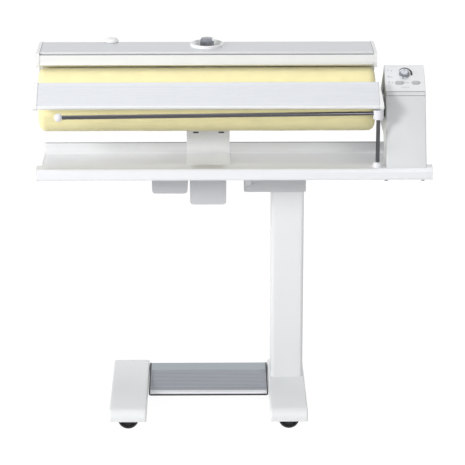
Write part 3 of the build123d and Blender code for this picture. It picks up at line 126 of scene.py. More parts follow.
def brushedGroup():
    # fine drawn lines along X, for anodised and brushed metal
    group, gin, gout = newGroup(
        "brushedLines",
        {"Color": (0.7, 0.7, 0.7, 1), "Roughness": 0.3, "Along": 4.0, "Across": 900.0},
        ("Color", "Roughness", "Height"))
    coords = addNode(group, "ShaderNodeTexCoord")
    squeeze = addNode(group, "ShaderNodeCombineXYZ")
    stretch = addNode(group, "ShaderNodeVectorMath", operation="MULTIPLY")
    lines = addNode(group, "ShaderNodeTexNoise", {"Scale": 1.0, "Detail": 3.0})
    wire(group,
         (gin.outputs["Along"], squeeze.inputs["X"]),
         (gin.outputs["Across"], squeeze.inputs["Y"]),
         (gin.outputs["Across"], squeeze.inputs["Z"]),
         (coords.outputs["Object"], stretch.inputs[0]),
         (squeeze.outputs["Vector"], stretch.inputs[1]),
         (stretch.outputs["Vector"], lines.inputs["Vector"]),
         (lines.outputs["Fac"], gout.inputs["Height"]))
    tintBy(group, gin, gout, lines.outputs["Fac"], 0.93, 1.05)
    roughenBy(group, gin, gout, lines.outputs["Fac"], 0.16)
    return group


def mouldedGroup():
    # fine spark-eroded grain of moulded plastic
    group, gin, gout = newGroup(
        "mouldedGrain",
        {"Color": (0.7, 0.7, 0.7, 1), "Roughness": 0.4, "Scale": 2200.0},
        ("Color", "Roughness", "Height"))
    coords = addNode(group, "ShaderNodeTexCoord")
    grain = addNode(group, "ShaderNodeTexVoronoi")
    wash = addNode(group, "ShaderNodeTexNoise", {"Scale": 14.0, "Detail": 3.0})
    wire(group,
         (coords.outputs["Object"], grain.inputs["Vector"]),
         (gin.outputs["Scale"], grain.inputs["Scale"]),
         (coords.outputs["Object"], wash.inputs["Vector"]),
         (grain.outputs["Distance"], gout.inputs["Height"]))
    tintBy(group, gin, gout, wash.outputs["Fac"], 0.95, 1.03)
    roughenBy(group, gin, gout, grain.outputs["Distance"], 0.12)
    return group


def weaveGroup():
    # plain weave on the piece's own UV map, with a soft unevenness in colour
    group, gin, gout = newGroup(
        "plainWeave", {"Color": (0.9, 0.85, 0.5, 1), "Threads": 1400.0}, ("Color", "Height"))
    uv = addNode(group, "ShaderNodeUVMap", uv_map="clothUv")
    split = addNode(group, "ShaderNodeSeparateXYZ")
    waves = []
    for axis in ("X", "Y"):
        threads = addNode(group, "ShaderNodeMath", operation="MULTIPLY")
        wave = addNode(group, "ShaderNodeMath", operation="SINE")
        wire(group,
             (split.outputs[axis], threads.inputs[0]),
             (gin.outputs["Threads"], threads.inputs[1]),
             (threads.outputs[0], wave.inputs[0]))
        waves.append(wave)
    cross = addNode(group, "ShaderNodeMath", operation="MULTIPLY")
    mottle = addNode(group, "ShaderNodeTexNoise", {"Scale": 22.0, "Detail": 5.0})
    shade = addNode(group, "ShaderNodeMapRange",
                    {"From Min": 0.3, "From Max": 0.7, "To Min": 0.955, "To Max": 1.02})
    threadShade = addNode(group, "ShaderNodeMath", {1: 0.035}, operation="MULTIPLY_ADD")
    tint = addNode(group, "ShaderNodeVectorMath", operation="SCALE")
    wire(group,
         (uv.outputs["UV"], split.inputs["Vector"]),
         (waves[0].outputs[0], cross.inputs[0]),
         (waves[1].outputs[0], cross.inputs[1]),
         (uv.outputs["UV"], mottle.inputs["Vector"]),
         (mottle.outputs["Fac"], shade.inputs["Value"]),
         (cross.outputs[0], threadShade.inputs[0]),
         (shade.outputs["Result"], threadShade.inputs[2]),
         (gin.outputs["Color"], tint.inputs[0]),
         (threadShade.outputs[0], tint.inputs["Scale"]),
         (tint.outputs["Vector"], gout.inputs["Color"]),
         (cross.outputs[0], gout.inputs["Height"]))
    return group


paintGrain = paintGrainGroup()
brushedLines = brushedGroup()
mouldedGrain = mouldedGroup()
plainWeave = weaveGroup()


# Finishes: a colour, how rough it is, the scale of its grain and the depth of its bump.

def finish(name, group, values, bump=0.0, bumpStep=0.0002, **shader):
    material = bpy.data.materials.new(name)
    material.use_nodes = True
    tree = material.node_tree
    principled = tree.nodes["Principled BSDF"]
    effect = addNode(tree, "ShaderNodeGroup", node_tree=group)
    for key, value in values.items():
        effect.inputs[key].default_value = value
    wire(tree, (effect.outputs["Color"], principled.inputs["Base Color"]))
    if "Roughness" in effect.outputs:
        wire(tree, (effect.outputs["Roughness"], principled.inputs["Roughness"]))
    if bump:
        relief = addNode(tree, "ShaderNodeBump", {"Strength": bump, "Distance": bumpStep})
        wire(tree,
             (effect.outputs["Height"], relief.inputs["Height"]),
             (relief.outputs["Normal"], principled.inputs["Normal"]))
    for key, value in shader.items():
        principled.inputs[key.replace("_", " ")].default_value = value
    return material


def painted(name, color, rough, grime, scale, bump, coat, coatRough):
    return finish(
        name, paintGrain,
        {"Color": (*color, 1), "Roughness": rough, "Grime": grime, "Scale": scale},
        bump, Coat_Weight=coat, Coat_Roughness=coatRough)


def brushed(name, color, rough, along, across, bump=0.0, **shader):
    return finish(
        name, brushedLines,
        {"Color": (*color, 1), "Roughness": rough, "Along": along, "Across": across},
        bump, **shader)


def moulded(name, color, rough, scale, bump, **shader):
    return finish(
        name, mouldedGrain, {"Color": (*color, 1), "Roughness": rough, "Scale": scale},
        bump, **shader)


whitePaint = painted("whitePaint", (0.79, 0.8, 0.81), rough=0.3, grime=0.1, scale=700.0,
                     bump=0.08, coat=0.25, coatRough=0.15)
columnPaint = painted("columnPaint", (0.77, 0.78, 0.79), rough=0.34, grime=0.14, scale=600.0,
                      bump=0.1, coat=0.15, coatRough=0.2)
footPaint = painted("footPaint", (0.8, 0.815, 0.825), rough=0.42, grime=0.12, scale=700.0,
                    bump=0.08, coat=0.05, coatRough=0.3)
trayPaint = painted("trayPaint", (0.79, 0.8, 0.83), rough=0.22, grime=0.08, scale=800.0,
                    bump=0.05, coat=1.0, coatRough=0.18)
# lighter than the tray's paint: a painted highlight for the bright band on the arm cover's bend
armHighlightPaint = painted("armHighlightPaint", (0.92, 0.93, 0.96), rough=0.24, grime=0.06, scale=800.0,
                   bump=0.05, coat=1.0, coatRough=0.2)
# a darker copy of the white paint for the covers and bracket under the tray: painted shade from the
# tray above them
shadedCoverPaint = painted("shadedCoverPaint", (0.56, 0.565, 0.585), rough=0.36, grime=0.14, scale=700.0,
                     bump=0.08, coat=0.15, coatRough=0.2)

casePaint = moulded("casePaint", (0.675, 0.69, 0.705), rough=0.34, scale=1500.0, bump=0.06)
panelPlastic = moulded("panelPlastic", (0.72, 0.735, 0.755), rough=0.28, scale=2600.0, bump=0.04)
capPlastic = moulded("capPlastic", (0.8, 0.805, 0.805), rough=0.36, scale=1800.0, bump=0.06)
whitePlastic = moulded("whitePlastic", (0.74, 0.74, 0.78), rough=0.3, scale=2200.0, bump=0.04)
darkPlastic = moulded("darkPlastic", (0.03, 0.03, 0.032), rough=0.5, scale=1600.0, bump=0.12)
greyPlastic = moulded("greyPlastic", (0.35, 0.36, 0.38), rough=0.42, scale=1600.0, bump=0.1)
buttonPlastic = moulded("buttonPlastic", (0.42, 0.43, 0.44), rough=0.3, scale=2600.0, bump=0.04)
tyreRubber = moulded("tyreRubber", (0.016, 0.016, 0.018), rough=0.62, scale=1200.0, bump=0.2)
boardResin = moulded("boardResin", (0.02, 0.11, 0.05), rough=0.35, scale=500.0, bump=0.1)
gearNylon = moulded("gearNylon", (0.68, 0.64, 0.52), rough=0.4, scale=900.0, bump=0.05)
lampLens = moulded("lampLens", (0.16, 0.17, 0.17), rough=0.15, scale=3000.0, bump=0.02,
                   Coat_Weight=0.5)
markInk = moulded("markInk", (0.018, 0.018, 0.02), rough=0.5, scale=2000.0, bump=0.02)
inkFaint = moulded("inkFaint", (0.24, 0.25, 0.26), rough=0.5, scale=2000.0, bump=0.02)
seamShade = moulded("seamShade", (0.17, 0.175, 0.185), rough=0.6, scale=2000.0, bump=0.02)
woolFelt = moulded("woolFelt", (0.55, 0.5, 0.38), rough=0.9, scale=700.0, bump=0.3)

hoodMetal = brushed("hoodMetal", (0.6, 0.615, 0.64), rough=0.3, along=3.0, across=700.0,
                    bump=0.05, Metallic=0.3)
feederPaint = brushed("feederPaint", (0.63, 0.645, 0.68), rough=0.36, along=2.0, across=500.0,
                      bump=0.04, Metallic=0.1)
shoeMetal = brushed("shoeMetal", (0.62, 0.62, 0.62), rough=0.16, along=5.0, across=900.0,
                    bump=0.04, Metallic=1.0)
# the rod's and the filler cap's chrome are darkened: their colour paints the reflection of dark
# surroundings; the beam's screws share the rod's chrome
chromeDarkReflection = brushed("chromeDarkReflection", (0.1, 0.1, 0.11), rough=0.08, along=30.0, across=300.0,
                      Metallic=1.0)
capDarkReflection = brushed("capDarkReflection", (0.27, 0.28, 0.31), rough=0.1, along=30.0, across=300.0,
                    Metallic=1.0)
plainSteel = brushed("plainSteel", (0.5, 0.5, 0.52), rough=0.28, along=60.0, across=900.0,
                     bump=0.06, Metallic=1.0)
treadMetal = brushed("treadMetal", (0.3, 0.315, 0.345), rough=0.34, along=4.0, across=800.0,
                     bump=0.08, Metallic=0.55)
brightBar = brushed("brightBar", (0.68, 0.69, 0.72), rough=0.3, along=4.0, across=800.0,
                    bump=0.04, Metallic=0.4)
backMetal = brushed("backMetal", (0.36, 0.4, 0.43), rough=0.3, along=4.0, across=800.0,
                    bump=0.06, Metallic=0.5)
dialMetal = brushed("dialMetal", (0.3, 0.31, 0.33), rough=0.26, along=500.0, across=500.0,
                    bump=0.04, Metallic=0.8)
cottonCloth = finish("cottonCloth", plainWeave, {"Color": (0.93, 0.85, 0.47, 1), "Threads": 4200.0},
                     bump=0.25, bumpStep=0.0004,
                     Roughness=0.85, Sheen_Weight=0.25, Sheen_Roughness=0.5)

finishOf = {
    whitePaint: "carrier press_arm side_frame",
    footPaint: "left_foot right_foot cross_beam",
    trayPaint: "tray",
    armHighlightPaint: "arm_cover",
    shadedCoverPaint: "fold_bracket lift_cover lift_motor_cover",
    columnPaint: "column",
    casePaint: "drive_casing pedestal_cover",
    panelPlastic: "control_panel",
    capPlastic: "tray_ends feeder_ends hood_ends finger_guard filler_bowl vent_cap",
    whitePlastic: "rail_elbow post_foot",
    hoodMetal: "hood",
    feederPaint: "feeder_table",
    shoeMetal: "heating_shoe",
    chromeDarkReflection: "laundry_rail",
    capDarkReflection: "filler_cap",
    plainSteel: "roller_tube roller_discs roller_shaft bearing_housing fold_pin arm_pin "
                "heating_rods treadle_rod lift_motor drive_motor motor_pinion",
    treadMetal: "treadle",
    darkPlastic: "wheel_mounts foot_soles pedal_switch stop_pad switch_plunger treadle_ends "
                 "feeder_bracket",
    greyPlastic: "water_tank gearbox",
    buttonPlastic: "start_button steam_button",
    tyreRubber: "wheel_front_left wheel_front_right wheel_rear_left wheel_rear_right",
    boardResin: "circuit_board",
    gearNylon: "roller_gear",
    dialMetal: "dial",
}
dressed = set()
for material, names in finishOf.items():
    for name in names.split():
        for place in node[name].material_slots:
            place.material = material
        dressed.add(name)
print("finishes on", len(dressed), "nodes; left:", sorted(set(node) - dressed))


# Making and placing pieces.

def addPiece(name, mesh, material, body, slotName, smooth=True):
    data = bpy.data.meshes.new(name)
    bmesh.ops.remove_doubles(mesh, verts=mesh.verts, dist=1e-6)
    bmesh.ops.recalc_face_normals(mesh, faces=mesh.faces)
    mesh.to_mesh(data)
    mesh.free()
    piece = bpy.data.objects.new(name, data)
    bpy.context.scene.collection.objects.link(piece)
    data.materials.append(material)
    if smooth:
        data.shade_smooth()
        data.set_sharp_from_angle(angle=radians(35))
    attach(piece, body)
    return piece


def spun(mesh, profile, centre, axis, start, steps=48):
    # turns a line of (radius, height) points about an axis, beginning on the side of `start`
    verts = [mesh.verts.new(Vector(centre) + Vector(start) * r + Vector(axis) * h)
             for r, h in profile]
    edges = [mesh.edges.new(pair) for pair in zip(verts, verts[1:])]
    bmesh.ops.spin(mesh, geom=verts + edges, cent=centre, axis=axis, angle=2 * pi, steps=steps,
                   use_merge=True, use_duplicate=False)


def block(mesh, low, high, round=0.0):
    # a box between two corners, with rounded edges
    low, high = Vector(low), Vector(high)
    made = bmesh.ops.create_cube(mesh, size=1.0)["verts"]
    bmesh.ops.scale(mesh, vec=high - low, verts=made)
    bmesh.ops.translate(mesh, vec=(low + high) / 2, verts=made)
    if round:
        edges = list({edge for vert in made for edge in vert.link_edges})
        bmesh.ops.bevel(mesh, geom=edges, offset=round, affect="EDGES", segments=2,
                        profile=0.5, material=-1)


def laidOn(mesh, foot, slope):
    # a mesh drawn flat, as x, up the slope and out of the face, laid on a face that leans
    matrix = Matrix.Translation((0, *foot)) @ Matrix.Rotation(slope, 4, "X")
    bmesh.ops.transform(mesh, matrix=matrix, verts=mesh.verts)


def wrapStrip(name, centre, radius, xs, degs, material, body, slotName, wall=0.0005):
    # part of a tube along X round a line at (y, z); angles run from straight up to the front
    mesh = bmesh.new()
    turn = radians(degs[0])
    start = Vector((0, -sin(turn), cos(turn))) * radius
    ends = [mesh.verts.new(Vector((x, *centre)) + start) for x in xs]
    line = mesh.edges.new(ends)
    bmesh.ops.spin(mesh, geom=ends + [line], cent=(0, *centre), axis=(1, 0, 0),
                   angle=radians(degs[1] - degs[0]), steps=14, use_merge=False,
                   use_duplicate=False)
    bmesh.ops.recalc_face_normals(mesh, faces=mesh.faces)
    bmesh.ops.solidify(mesh, geom=mesh.verts[:] + mesh.edges[:] + mesh.faces[:], thickness=wall)
    return addPiece(name, mesh, material, body, slotName)


def rollerOutline(look, outer, steps, along=1):
    # (radius, x) points: in over the left end, along the roller and over the right end
    round, left, right = look["round"], look["left"], look["right"]
    overLeft, overRight = [], []
    for i in range(steps + 1):
        turn = pi / 2 * i / steps
        radius = outer - round * (1 - sin(turn))
        overLeft.append((radius, left + round * (1 - cos(turn))))
        overRight.append((radius, right - round * (1 - cos(turn))))
    run = right - left - 2 * round
    middle = [(outer, left + round + run * i / along) for i in range(1, along)]
    return overLeft + middle + overRight[::-1]


# The roller's cloth and the felt below it.
clothLook = {
    "radius": 0.0805, "left": -0.4848, "right": 0.354, "round": 0.017, "wall": 0.0012,
    "tuckRadius": 0.058, "tuckIn": 0.0005, "around": 128, "along": 150, "endSteps": 8,
    "wave": 0.0003, "waveAlong": 31, "waveTwist": 9, "waveRound": 3,
    "gather": 0.0008, "gathers": 34, "gatherReach": 0.05,
}


def windUneven(mesh, look, axisZ):
    # shallow waves of wound cloth, and gathers where the drawn edges turn in
    for vert in mesh.verts:
        x, dy, dz = vert.co.x, vert.co.y, vert.co.z - axisZ
        r = (dy * dy + dz * dz) ** 0.5
        turn = atan2(dy, dz)
        fromEnd = min(abs(x - look["left"]), abs(x - look["right"]))
        near = max(0.0, 1 - fromEnd / look["gatherReach"])
        swell = look["wave"] * (sin(x * look["waveAlong"] + 2 * sin(turn * 2))
                                * sin(turn * look["waveRound"] + x * look["waveTwist"]) - 1)
        fold = 0.5 + 0.5 * sin(turn * look["gathers"] + 3 * sin(turn * 5))
        k = (r + swell - look["gather"] * near * fold) / r
        vert.co.y, vert.co.z = dy * k, axisZ + dz * k


def unrollUv(mesh, look, axisZ):
    # a UV map in metres, along the roller and round it, for the weave
    layer = mesh.loops.layers.uv.new("clothUv")
    for face in mesh.faces:
        middle = face.calc_center_median()
        base = atan2(middle.y, middle.z - axisZ)
        for loop in face.loops:
            turn = atan2(loop.vert.co.y, loop.vert.co.z - axisZ)
            while turn - base > pi:
                turn -= 2 * pi
            while turn - base < -pi:
                turn += 2 * pi
            loop[layer].uv = (loop.vert.co.x, turn * look["radius"])


def makeCloth(look, axisZ):
    mesh = bmesh.new()
    outline = rollerOutline(look, look["radius"], look["endSteps"], look["along"])
    outline = [(look["tuckRadius"], look["left"] + look["tuckIn"]), *outline,
               (look["tuckRadius"], look["right"] - look["tuckIn"])]
    spun(mesh, outline, (0, 0, axisZ), (1, 0, 0), (0, 0, -1), look["around"])
    bmesh.ops.remove_doubles(mesh, verts=mesh.verts, dist=1e-6)
    windUneven(mesh, look, axisZ)
    unrollUv(mesh, look, axisZ)
    return mesh


axisZ = (sum(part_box("roller_cloth"), Vector()) / 2).z
cloth = addPiece("ironingCloth", makeCloth(clothLook, axisZ), cottonCloth, "roller", "cloth")
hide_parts("roller_cloth")
thicken = cloth.modifiers.new("clothWall", "SOLIDIFY")
thicken.thickness = clothLook["wall"]
thicken.offset = -1

feltLook = {
    "outer": 0.0788, "inner": 0.0665, "left": -0.4828, "right": 0.352, "round": 0.014,
    "around": 96, "endSteps": 6,
}
feltOutline = rollerOutline(feltLook, feltLook["outer"], feltLook["endSteps"])
feltOutline = [(feltLook["inner"], feltLook["left"]), *feltOutline,
               (feltLook["inner"], feltLook["right"]), (feltLook["inner"], feltLook["left"])]
feltMesh = bmesh.new()
spun(feltMesh, feltOutline, (0, 0, axisZ), (1, 0, 0), (0, 0, -1), feltLook["around"])
felt = addPiece("rollerFelt", feltMesh, woolFelt, "roller", "padding")
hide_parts("roller_padding")
print("roller dressed")


# The control panel: knob, keys, lamps and plain marks, drawn as x and up the slope.
panelLook = {
    "foot": (-0.0657, 0.8604), "slope": atan2(0.0516, 0.0657),
    "dialX": 0.4265, "dialUp": 0.054, "keyXs": (0.4128, 0.4539), "keyUp": 0.0275,
    "lampX": 0.3951, "signX": 0.3875, "rowUps": (0.0663, 0.0466, 0.0292),
}
dialX, dialUp, signX = panelLook["dialX"], panelLook["dialUp"], panelLook["signX"]
rowUps, keyUp = panelLook["rowUps"], panelLook["keyUp"]
dialPlace = Vector((dialX, dialUp, 0))


def onPanel(name, mesh, material, body, slotName, **more):
    laidOn(mesh, panelLook["foot"], panelLook["slope"])
    return addPiece(name, mesh, material, body, slotName, **more)


markLook = {
    "ink": 0.00015, "sunk": 0.0001,
    "scale": {"centre": (dialX + 0.0004, dialUp + 0.0032, 0), "radius": 0.0152,
              "degs": (150, -20), "wide": 0.001, "wideEnd": 0.0052, "steps": 28},
    "arcs": (
        {"centre": (signX + 0.002, rowUps[0] - 0.003, 0), "radius": 0.0052,
         "degs": (175, 95), "wide": 0.0008, "wideEnd": 0.0008, "steps": 10},
        {"centre": (signX, rowUps[2], 0), "radius": 0.0014,
         "degs": (-150, 150), "wide": 0.0008, "wideEnd": 0.0008, "steps": 16},
    ),
    "tickDegs": (150, 172, 194, 216, 238), "tickRadius": 0.0175, "tickHalf": (0.0007, 0.0004),
    # rows of strokes: first x, step, count, up, half sizes
    "rows": (
        (signX - 0.0022, 0.0018, 3, rowUps[1], (0.0004, 0.002)),
        (dialX - 0.0003, 0.0036, 4, keyUp, (0.0008, 0.0012)),
        (dialX - 0.0075, 0.005, 4, 0.01345, (0.0011, 0.00075)),
    ),
    "lampRadius": 0.0011, "lampTall": 0.0006, "lampDrop": 0.001,
}


def arcMark(mesh, look, tall):
    # a flat curved stroke whose width changes along it
    centre, radius = Vector(look["centre"]), look["radius"]
    fromTurn, toTurn = (radians(deg) for deg in look["degs"])
    start = Vector((cos(fromTurn), sin(fromTurn), 0))
    inner = mesh.verts.new(centre + start * radius)
    outer = mesh.verts.new(centre + start * (radius + 0.001))
    edge = mesh.edges.new((inner, outer))
    before = set(mesh.verts) - {inner, outer}
    bmesh.ops.spin(mesh, geom=[inner, outer, edge], cent=centre, axis=(0, 0, 1),
                   angle=toTurn - fromTurn, steps=look["steps"], use_merge=False,
                   use_duplicate=False)
    drawn = [vert for vert in mesh.verts if vert not in before]
    for vert in drawn:
        spoke = vert.co - centre
        share = (atan2(spoke.y, spoke.x) - fromTurn) / (toTurn - fromTurn)
        share = min(1.0, max(0.0, share))
        if spoke.length > radius + 0.0005:
            wide = look["wide"] + (look["wideEnd"] - look["wide"]) * share
            vert.co = centre + spoke.normalized() * (radius + wide)
    faces = list({face for vert in drawn for face in vert.link_faces})
    grown = bmesh.ops.extrude_face_region(mesh, geom=faces)["geom"]
    raised = [part for part in grown if isinstance(part, bmesh.types.BMVert)]
    bmesh.ops.translate(mesh, vec=(0, 0, tall), verts=raised)


def stroke(mesh, x, up, half):
    block(mesh, (x - half[0], up - half[1], -markLook["sunk"]),
          (x + half[0], up + half[1], markLook["ink"]))


scaleMesh = bmesh.new()
arcMark(scaleMesh, markLook["scale"], markLook["ink"])
onPanel("dialScale", scaleMesh, markInk, "head", "white_plastic", smooth=False)

faint = bmesh.new()
for degrees in markLook["tickDegs"]:
    spoke = Vector((cos(radians(degrees)), sin(radians(degrees)), 0))
    middle = dialPlace + spoke * markLook["tickRadius"]
    stroke(faint, middle.x, middle.y, markLook["tickHalf"])
arcMark(faint, markLook["arcs"][0], markLook["ink"])
arcMark(faint, markLook["arcs"][1], markLook["ink"])
for x, step, count, up, half in markLook["rows"]:
    for i in range(count):
        stroke(faint, x + step * i, up, half)
onPanel("panelMarks", faint, inkFaint, "head", "white_plastic", smooth=False)

lamps = bmesh.new()
lampRadius, lampTall = markLook["lampRadius"], markLook["lampTall"]
lampOutline = [(0, lampTall), (lampRadius * 0.8, lampTall), (lampRadius, lampTall * 0.5),
               (lampRadius, -0.0002)]
for up in rowUps:
    spun(lamps, lampOutline, (panelLook["lampX"], up - markLook["lampDrop"], 0), (0, 0, 1),
         (1, 0, 0), 16)
onPanel("lampLenses", lamps, lampLens, "head", "dark_plastic")

knobLook = {
    "grip": 0.0118, "top": 0.0105, "gripFrom": 0.0028, "gripTo": 0.009, "tall": 0.0104,
    "stem": ((0.003, -0.0135), (0.003, 0.0004), (0.0135, 0.0004), (0.0135, 0.0014),
             (0.0126, 0.0021)),
    "crown": ((0.0099, 0.0098), (0.0085, 0.0104), (0.006, 0.0103), (0.0, 0.0103)),
    "gripSteps": 5, "ribs": 30, "ribDeep": 0.0005, "ribsFrom": 0.0025, "ribsTo": 0.0095,
    "pointer": (0.0005, 0.003, 0.0088), "pointerTall": (-0.0003, 0.0002),
}


def makeKnob(look):
    grip = [(look["grip"] + (look["top"] - look["grip"]) * i / look["gripSteps"],
             look["gripFrom"] + (look["gripTo"] - look["gripFrom"]) * i / look["gripSteps"])
            for i in range(look["gripSteps"] + 1)]
    mesh = bmesh.new()
    spun(mesh, [*look["stem"], *grip, *look["crown"]], dialPlace, (0, 0, 1), (1, 0, 0),
         look["ribs"] * 4)
    for vert in mesh.verts:
        spoke = vert.co - dialPlace
        if look["ribsFrom"] < spoke.z < look["ribsTo"]:
            wave = 0.5 + 0.5 * cos(atan2(spoke.y, spoke.x) * look["ribs"])
            vert.co -= Vector((spoke.x, spoke.y, 0)).normalized() * look["ribDeep"] * wave
    return mesh


knob = onPanel("timerKnob", makeKnob(knobLook), dialMetal, "timer_dial", "dial_silver")
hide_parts("dial")
pointer = bmesh.new()
pointHalf, pointIn, pointOut = knobLook["pointer"]
sunk, proud = knobLook["pointerTall"]
block(pointer, dialPlace + Vector((-pointHalf, pointIn, knobLook["tall"] + sunk)),
      dialPlace + Vector((pointHalf, pointOut, knobLook["tall"] + proud)), 0.0001)
onPanel("knobPointer", pointer, markInk, "timer_dial", "dark_plastic")

keyLook = {"half": 0.0055, "length": 0.005, "tall": 0.0024, "deep": 0.0055, "crown": 0.6,
           "steps": 8, "around": 40}


def makeKey(look, x):
    # a domed round key, pulled apart in the middle into a long one
    outline = [(0.0, look["tall"])]
    for i in range(1, look["steps"]):
        turn = pi / 2 * i / look["steps"]
        outline.append((look["half"] * sin(turn), look["tall"] * cos(turn) ** look["crown"]))
    outline += [(look["half"], 0.0), (look["half"], -look["deep"]), (0.0, -look["deep"])]
    mesh = bmesh.new()
    spun(mesh, outline, (0, 0, 0), (0, 0, 1), (0, 1, 0), look["around"])
    for vert in mesh.verts:
        if abs(vert.co.x) > 1e-5:
            vert.co.x += look["length"] if vert.co.x > 0 else -look["length"]
    bmesh.ops.translate(mesh, vec=(x, keyUp, 0), verts=mesh.verts)
    return mesh


for keyName, body, keyX in zip(("start_button", "steam_button"), ("start_key", "steam_key"),
                               panelLook["keyXs"]):
    keyTop = onPanel(keyName + "Cap", makeKey(keyLook, keyX), buttonPlastic, body,
                     "white_plastic")
    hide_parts(keyName)
print("panel dressed")


# Rounded copies of moulded and bent pieces.
# solid, copy, finish, body, slot, rounding, segments, axis across the rounded ends
softLook = (
    ("drive_casing", "driveShell", casePaint, "head", "casing_white", 0.003, 3, 0),
    ("control_panel", "panelFace", panelPlastic, "head", "white_plastic", 0.0014, 2, 0),
    ("lift_cover", "liftShell", shadedCoverPaint, "head", "white_paint", 0.0016, 3, 0),
    ("lift_motor_cover", "liftMotorShell", shadedCoverPaint, "head", "white_paint", 0.0016, 3, 0),
    ("fold_bracket", "foldPlates", shadedCoverPaint, "stand", "white_paint", 0.0007, 2, 1),
)
shaftHole = {"centre": Vector((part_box("drive_casing")[0].x, 0, axisZ)), "reach": 0.035}


def onEnds(edge, corners, axis):
    # true for an edge in an outer plane of the solid's box, away from the shaft's hole
    if all((vert.co - shaftHole["centre"]).length < shaftHole["reach"] for vert in edge.verts):
        return False
    return any(all(abs(vert.co[axis] - corner[axis]) < 2e-5 for vert in edge.verts)
               for corner in corners)


for name, copyName, material, body, slotName, width, segments, axis in softLook:
    mesh = bmesh.new()
    mesh.from_mesh(node[name].data)
    bmesh.ops.remove_doubles(mesh, verts=mesh.verts, dist=2e-6)
    bmesh.ops.dissolve_limit(mesh, angle_limit=radians(0.5), verts=mesh.verts, edges=mesh.edges)
    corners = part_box(name)
    edges = [edge for edge in mesh.edges
             if edge.is_manifold and edge.calc_face_angle(0.0) > radians(40)
             and onEnds(edge, corners, axis)]
    bmesh.ops.bevel(mesh, geom=edges, offset=width, affect="EDGES", segments=segments,
                    profile=0.5, material=-1, clamp_overlap=False)
    piece = addPiece(copyName, mesh, material, body, slotName)
    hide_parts(name)
print("edges rounded")


# The rail's ball, which ends the swung-out rail.
ballLook = {"radius": 0.0103, "post": (0.356, -0.127, 0.821), "run": 0.785,
            "turn": radians(2.5)}
alongRail = Vector((-cos(ballLook["turn"]), -sin(ballLook["turn"]), 0))
ballMesh = bmesh.new()
bmesh.ops.create_uvsphere(ballMesh, u_segments=40, v_segments=24, radius=ballLook["radius"])
bmesh.ops.translate(ballMesh, vec=Vector(ballLook["post"]) + alongRail * ballLook["run"],
                    verts=ballMesh.verts)
addPiece("railBall", ballMesh, whitePlastic, "rail", "white_plastic")

# Screws with domed heads and a round socket, as (place, radius, height).
screwLook = {
    "beam": (((0.378, -0.132, 0.655), 0.0052, 0.005), ((0.469, -0.132, 0.655), 0.0052, 0.005),
             ((0.355, -0.132, 0.655), 0.0028, 0.0022)),
    "casing": (((0.477, -0.075, 0.712), 0.0042, 0.0018), ((0.477, 0.1, 0.712), 0.0042, 0.0018),
               ((0.477, 0.018, 0.84), 0.0042, 0.0018)),
}


def addScrews(name, places, axis, material):
    mesh = bmesh.new()
    axis = Vector(axis)
    for place, radius, tall in places:
        head = [(radius, -0.0002), (radius, tall * 0.45), (radius * 0.86, tall * 0.85),
                (radius * 0.5, tall), (radius * 0.46, tall * 0.25), (0.0, tall * 0.2)]
        spun(mesh, head, Vector(place), axis, axis.orthogonal().normalized(), 24)
    addPiece(name, mesh, material, "head", "steel")


addScrews("beamScrews", screwLook["beam"], (0, 0, -1), chromeDarkReflection)
addScrews("casingScrews", screwLook["casing"], (1, 0, 0), plainSteel)

# The rounded bead along the feeder's front edge, in a lighter plastic that paints the highlight on
# that edge.
beadHighlightLook = {"centre": (-0.13399, 0.8391), "radius": 0.0048, "xs": (-0.4815, 0.3577),
            "degs": (28, 170)}
wrapStrip("feederBeadHighlight", beadHighlightLook["centre"], beadHighlightLook["radius"], beadHighlightLook["xs"], beadHighlightLook["degs"],
          capPlastic, "head", "feeder_white")

# Joint lines, lips and rims: blocks, some of them laid on a face that leans. The joint lines are
# dark strips of painted shade in the grooves and gaps; the hood's front lip is a lighter strip, a
# painted highlight on its edge.
jointLook = {
    "frontFoot": panelLook["foot"], "frontSlope": atan2(0.1754, 0.0753),
    "frontXs": (0.3795, 0.475), "frontUps": (-0.0003, -0.0105), "frontHalf": 0.0006,
    "frontProud": 0.00015,
    "feederFoot": (-0.139, 0.84), "feederSlope": atan2(0.048, 0.065),
    "feederXs": (-0.4821, 0.3583), "feederUps": (0.001, 0.0795), "feederProud": 0.0003,
    "hoodXs": (-0.4811, 0.3503), "hoodYs": (-0.0135, 0.118), "hoodTop": 0.9474,
    "hoodProud": 0.0002, "half": 0.0004, "sunk": 0.0004,
    "innerXs": (-0.4807, 0.3499),
    "hoodHighlightStrip": ((-0.0138, 0.9462), (-0.001, 0.9477)), "hoodLipRound": 0.0003,
    "guardTurn": (-0.0186, 0.943), "guardRadius": 0.0026, "guardDegs": (5, 70),
    "guardWall": 0.0003, "guardLip": ((-0.0209, 0.9182), (-0.0186, 0.9262)),
    "guardLipRound": 0.0007,
}
j = jointLook


def addBlocks(name, corners, material, body, slotName, round=0.0, laid=None, **more):
    mesh = bmesh.new()
    for low, high in corners:
        block(mesh, low, high, round)
    if laid:
        laidOn(mesh, *laid)
    addPiece(name, mesh, material, body, slotName, **more)


